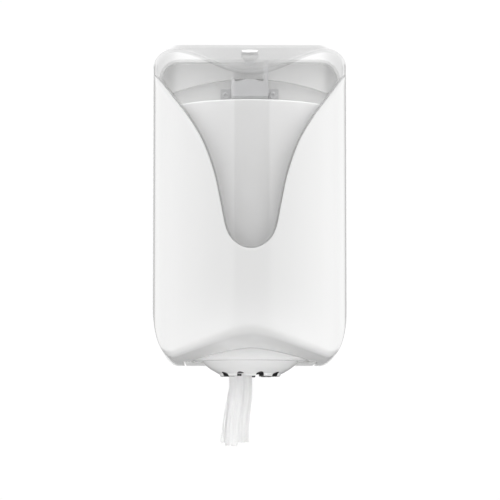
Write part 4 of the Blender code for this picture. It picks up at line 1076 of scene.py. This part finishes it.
def tailFolds(up):
    # across and number of each turn of the web, with a slow wander down its length
    folds = []
    for k, pair in enumerate(zip(tail["leftFolds"], tail["rightFolds"])):
        for side, across in enumerate(pair):
            number = 2 * k + side
            spot = Vector((up * tail["wanderPitch"], number * tail["wanderStep"], tail["seed"]))
            wander = noise.noise(spot) * tail["foldWander"]
            folds.append((across + wander * (tail["frontWander"] if number < 2 else 1), number))
    return folds


def tailLevel(share):
    s = tail
    up, (centre, width, depth, lean) = tailSection(share)
    folds = tailFolds(up)
    last = len(folds) - 1
    fall = min(max((-s["rippleStart"] - up) / s["rippleRun"], 0), 1)
    ripple = s["ripple"] * (s["rippleTop"] + (1 - s["rippleTop"]) * fall)
    low = min(max((share - s["endStart"]) / (1 - s["endStart"]), 0), 1) ** 2
    points = []
    for k, ((start, number), (end, _)) in enumerate(zip(folds, folds[1:])):
        for step in range(s["runSteps"] + (1 if k == last - 1 else 0)):
            part = step / s["runSteps"]
            eased = 0.5 - 0.5 * math.cos(math.pi * part)
            across = start + (end - start) * eased
            deep = number + (part ** s["turnPower"] + 1 - (1 - part) ** s["turnPower"]) / 2
            x = centre + across * width
            y = nozzle["centre"][1] + lean + depth * (2 * deep / last - 1)
            turn = math.tau * (x - centre) / s["ripplePitch"] + s["rippleDrift"] * up
            drift = noise.noise(Vector((x * s["ripplePlace"][0], up * s["ripplePlace"][1], 1)))
            y += ripple * math.sin(turn + s["rippleNoise"] * drift)
            rise = s["endRise"][number // 2] * (1 - eased * (1 if number == 0 else s["endSlope"]))
            tooth = s["teeth"] * abs((k + part) * s["teethPerRun"] / s["teethPitch"] % 2 - 1)
            points.append(Vector((x, y, body["footZ"] + up + (rise + tooth) * low)))
    return points


def makeTail():
    s = tail
    levels = [tailLevel(k / s["levels"]) for k in range(s["levels"] + 1)]
    columns = [[level[k] for level in levels] for k in range(len(levels[0]))]
    bm = mappedGrid(columns)
    layer = bm.loops.layers.uv.new("UVMap")

    def key(point):
        return tuple(round(value, 7) for value in point)

    lookup = {}
    for k, column in enumerate(columns):
        for point in column:
            lookup[key(point)] = (k / (len(columns) - 1) * s["web"], point.z)
    for face in bm.faces:
        for loop in face.loops:
            loop[layer].uv = lookup.get(key(loop.vert.co), (0, 0))
    sheet = newPiece("paperTailSheet", bm, tailPaper, "root", s["sharp"])
    addModifier(sheet, "SOLIDIFY", thickness=s["thickness"], offset=0, use_rim=True)
    applyModifiers(sheet)
    shadeSmooth(sheet.data, s["sharp"])
    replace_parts(sheet, "paper_tail")


makeCover()
print("cover ready")
makeWindow()
makeFlange()
print("window ready")
for node, width in softWidths.items():
    softenNode(node, width)
print("fixed parts softened")
makeCollar()
makeCup()
print("nozzle ready")
makeRoll()
print("roll ready")
makeTail()
print("tail ready")
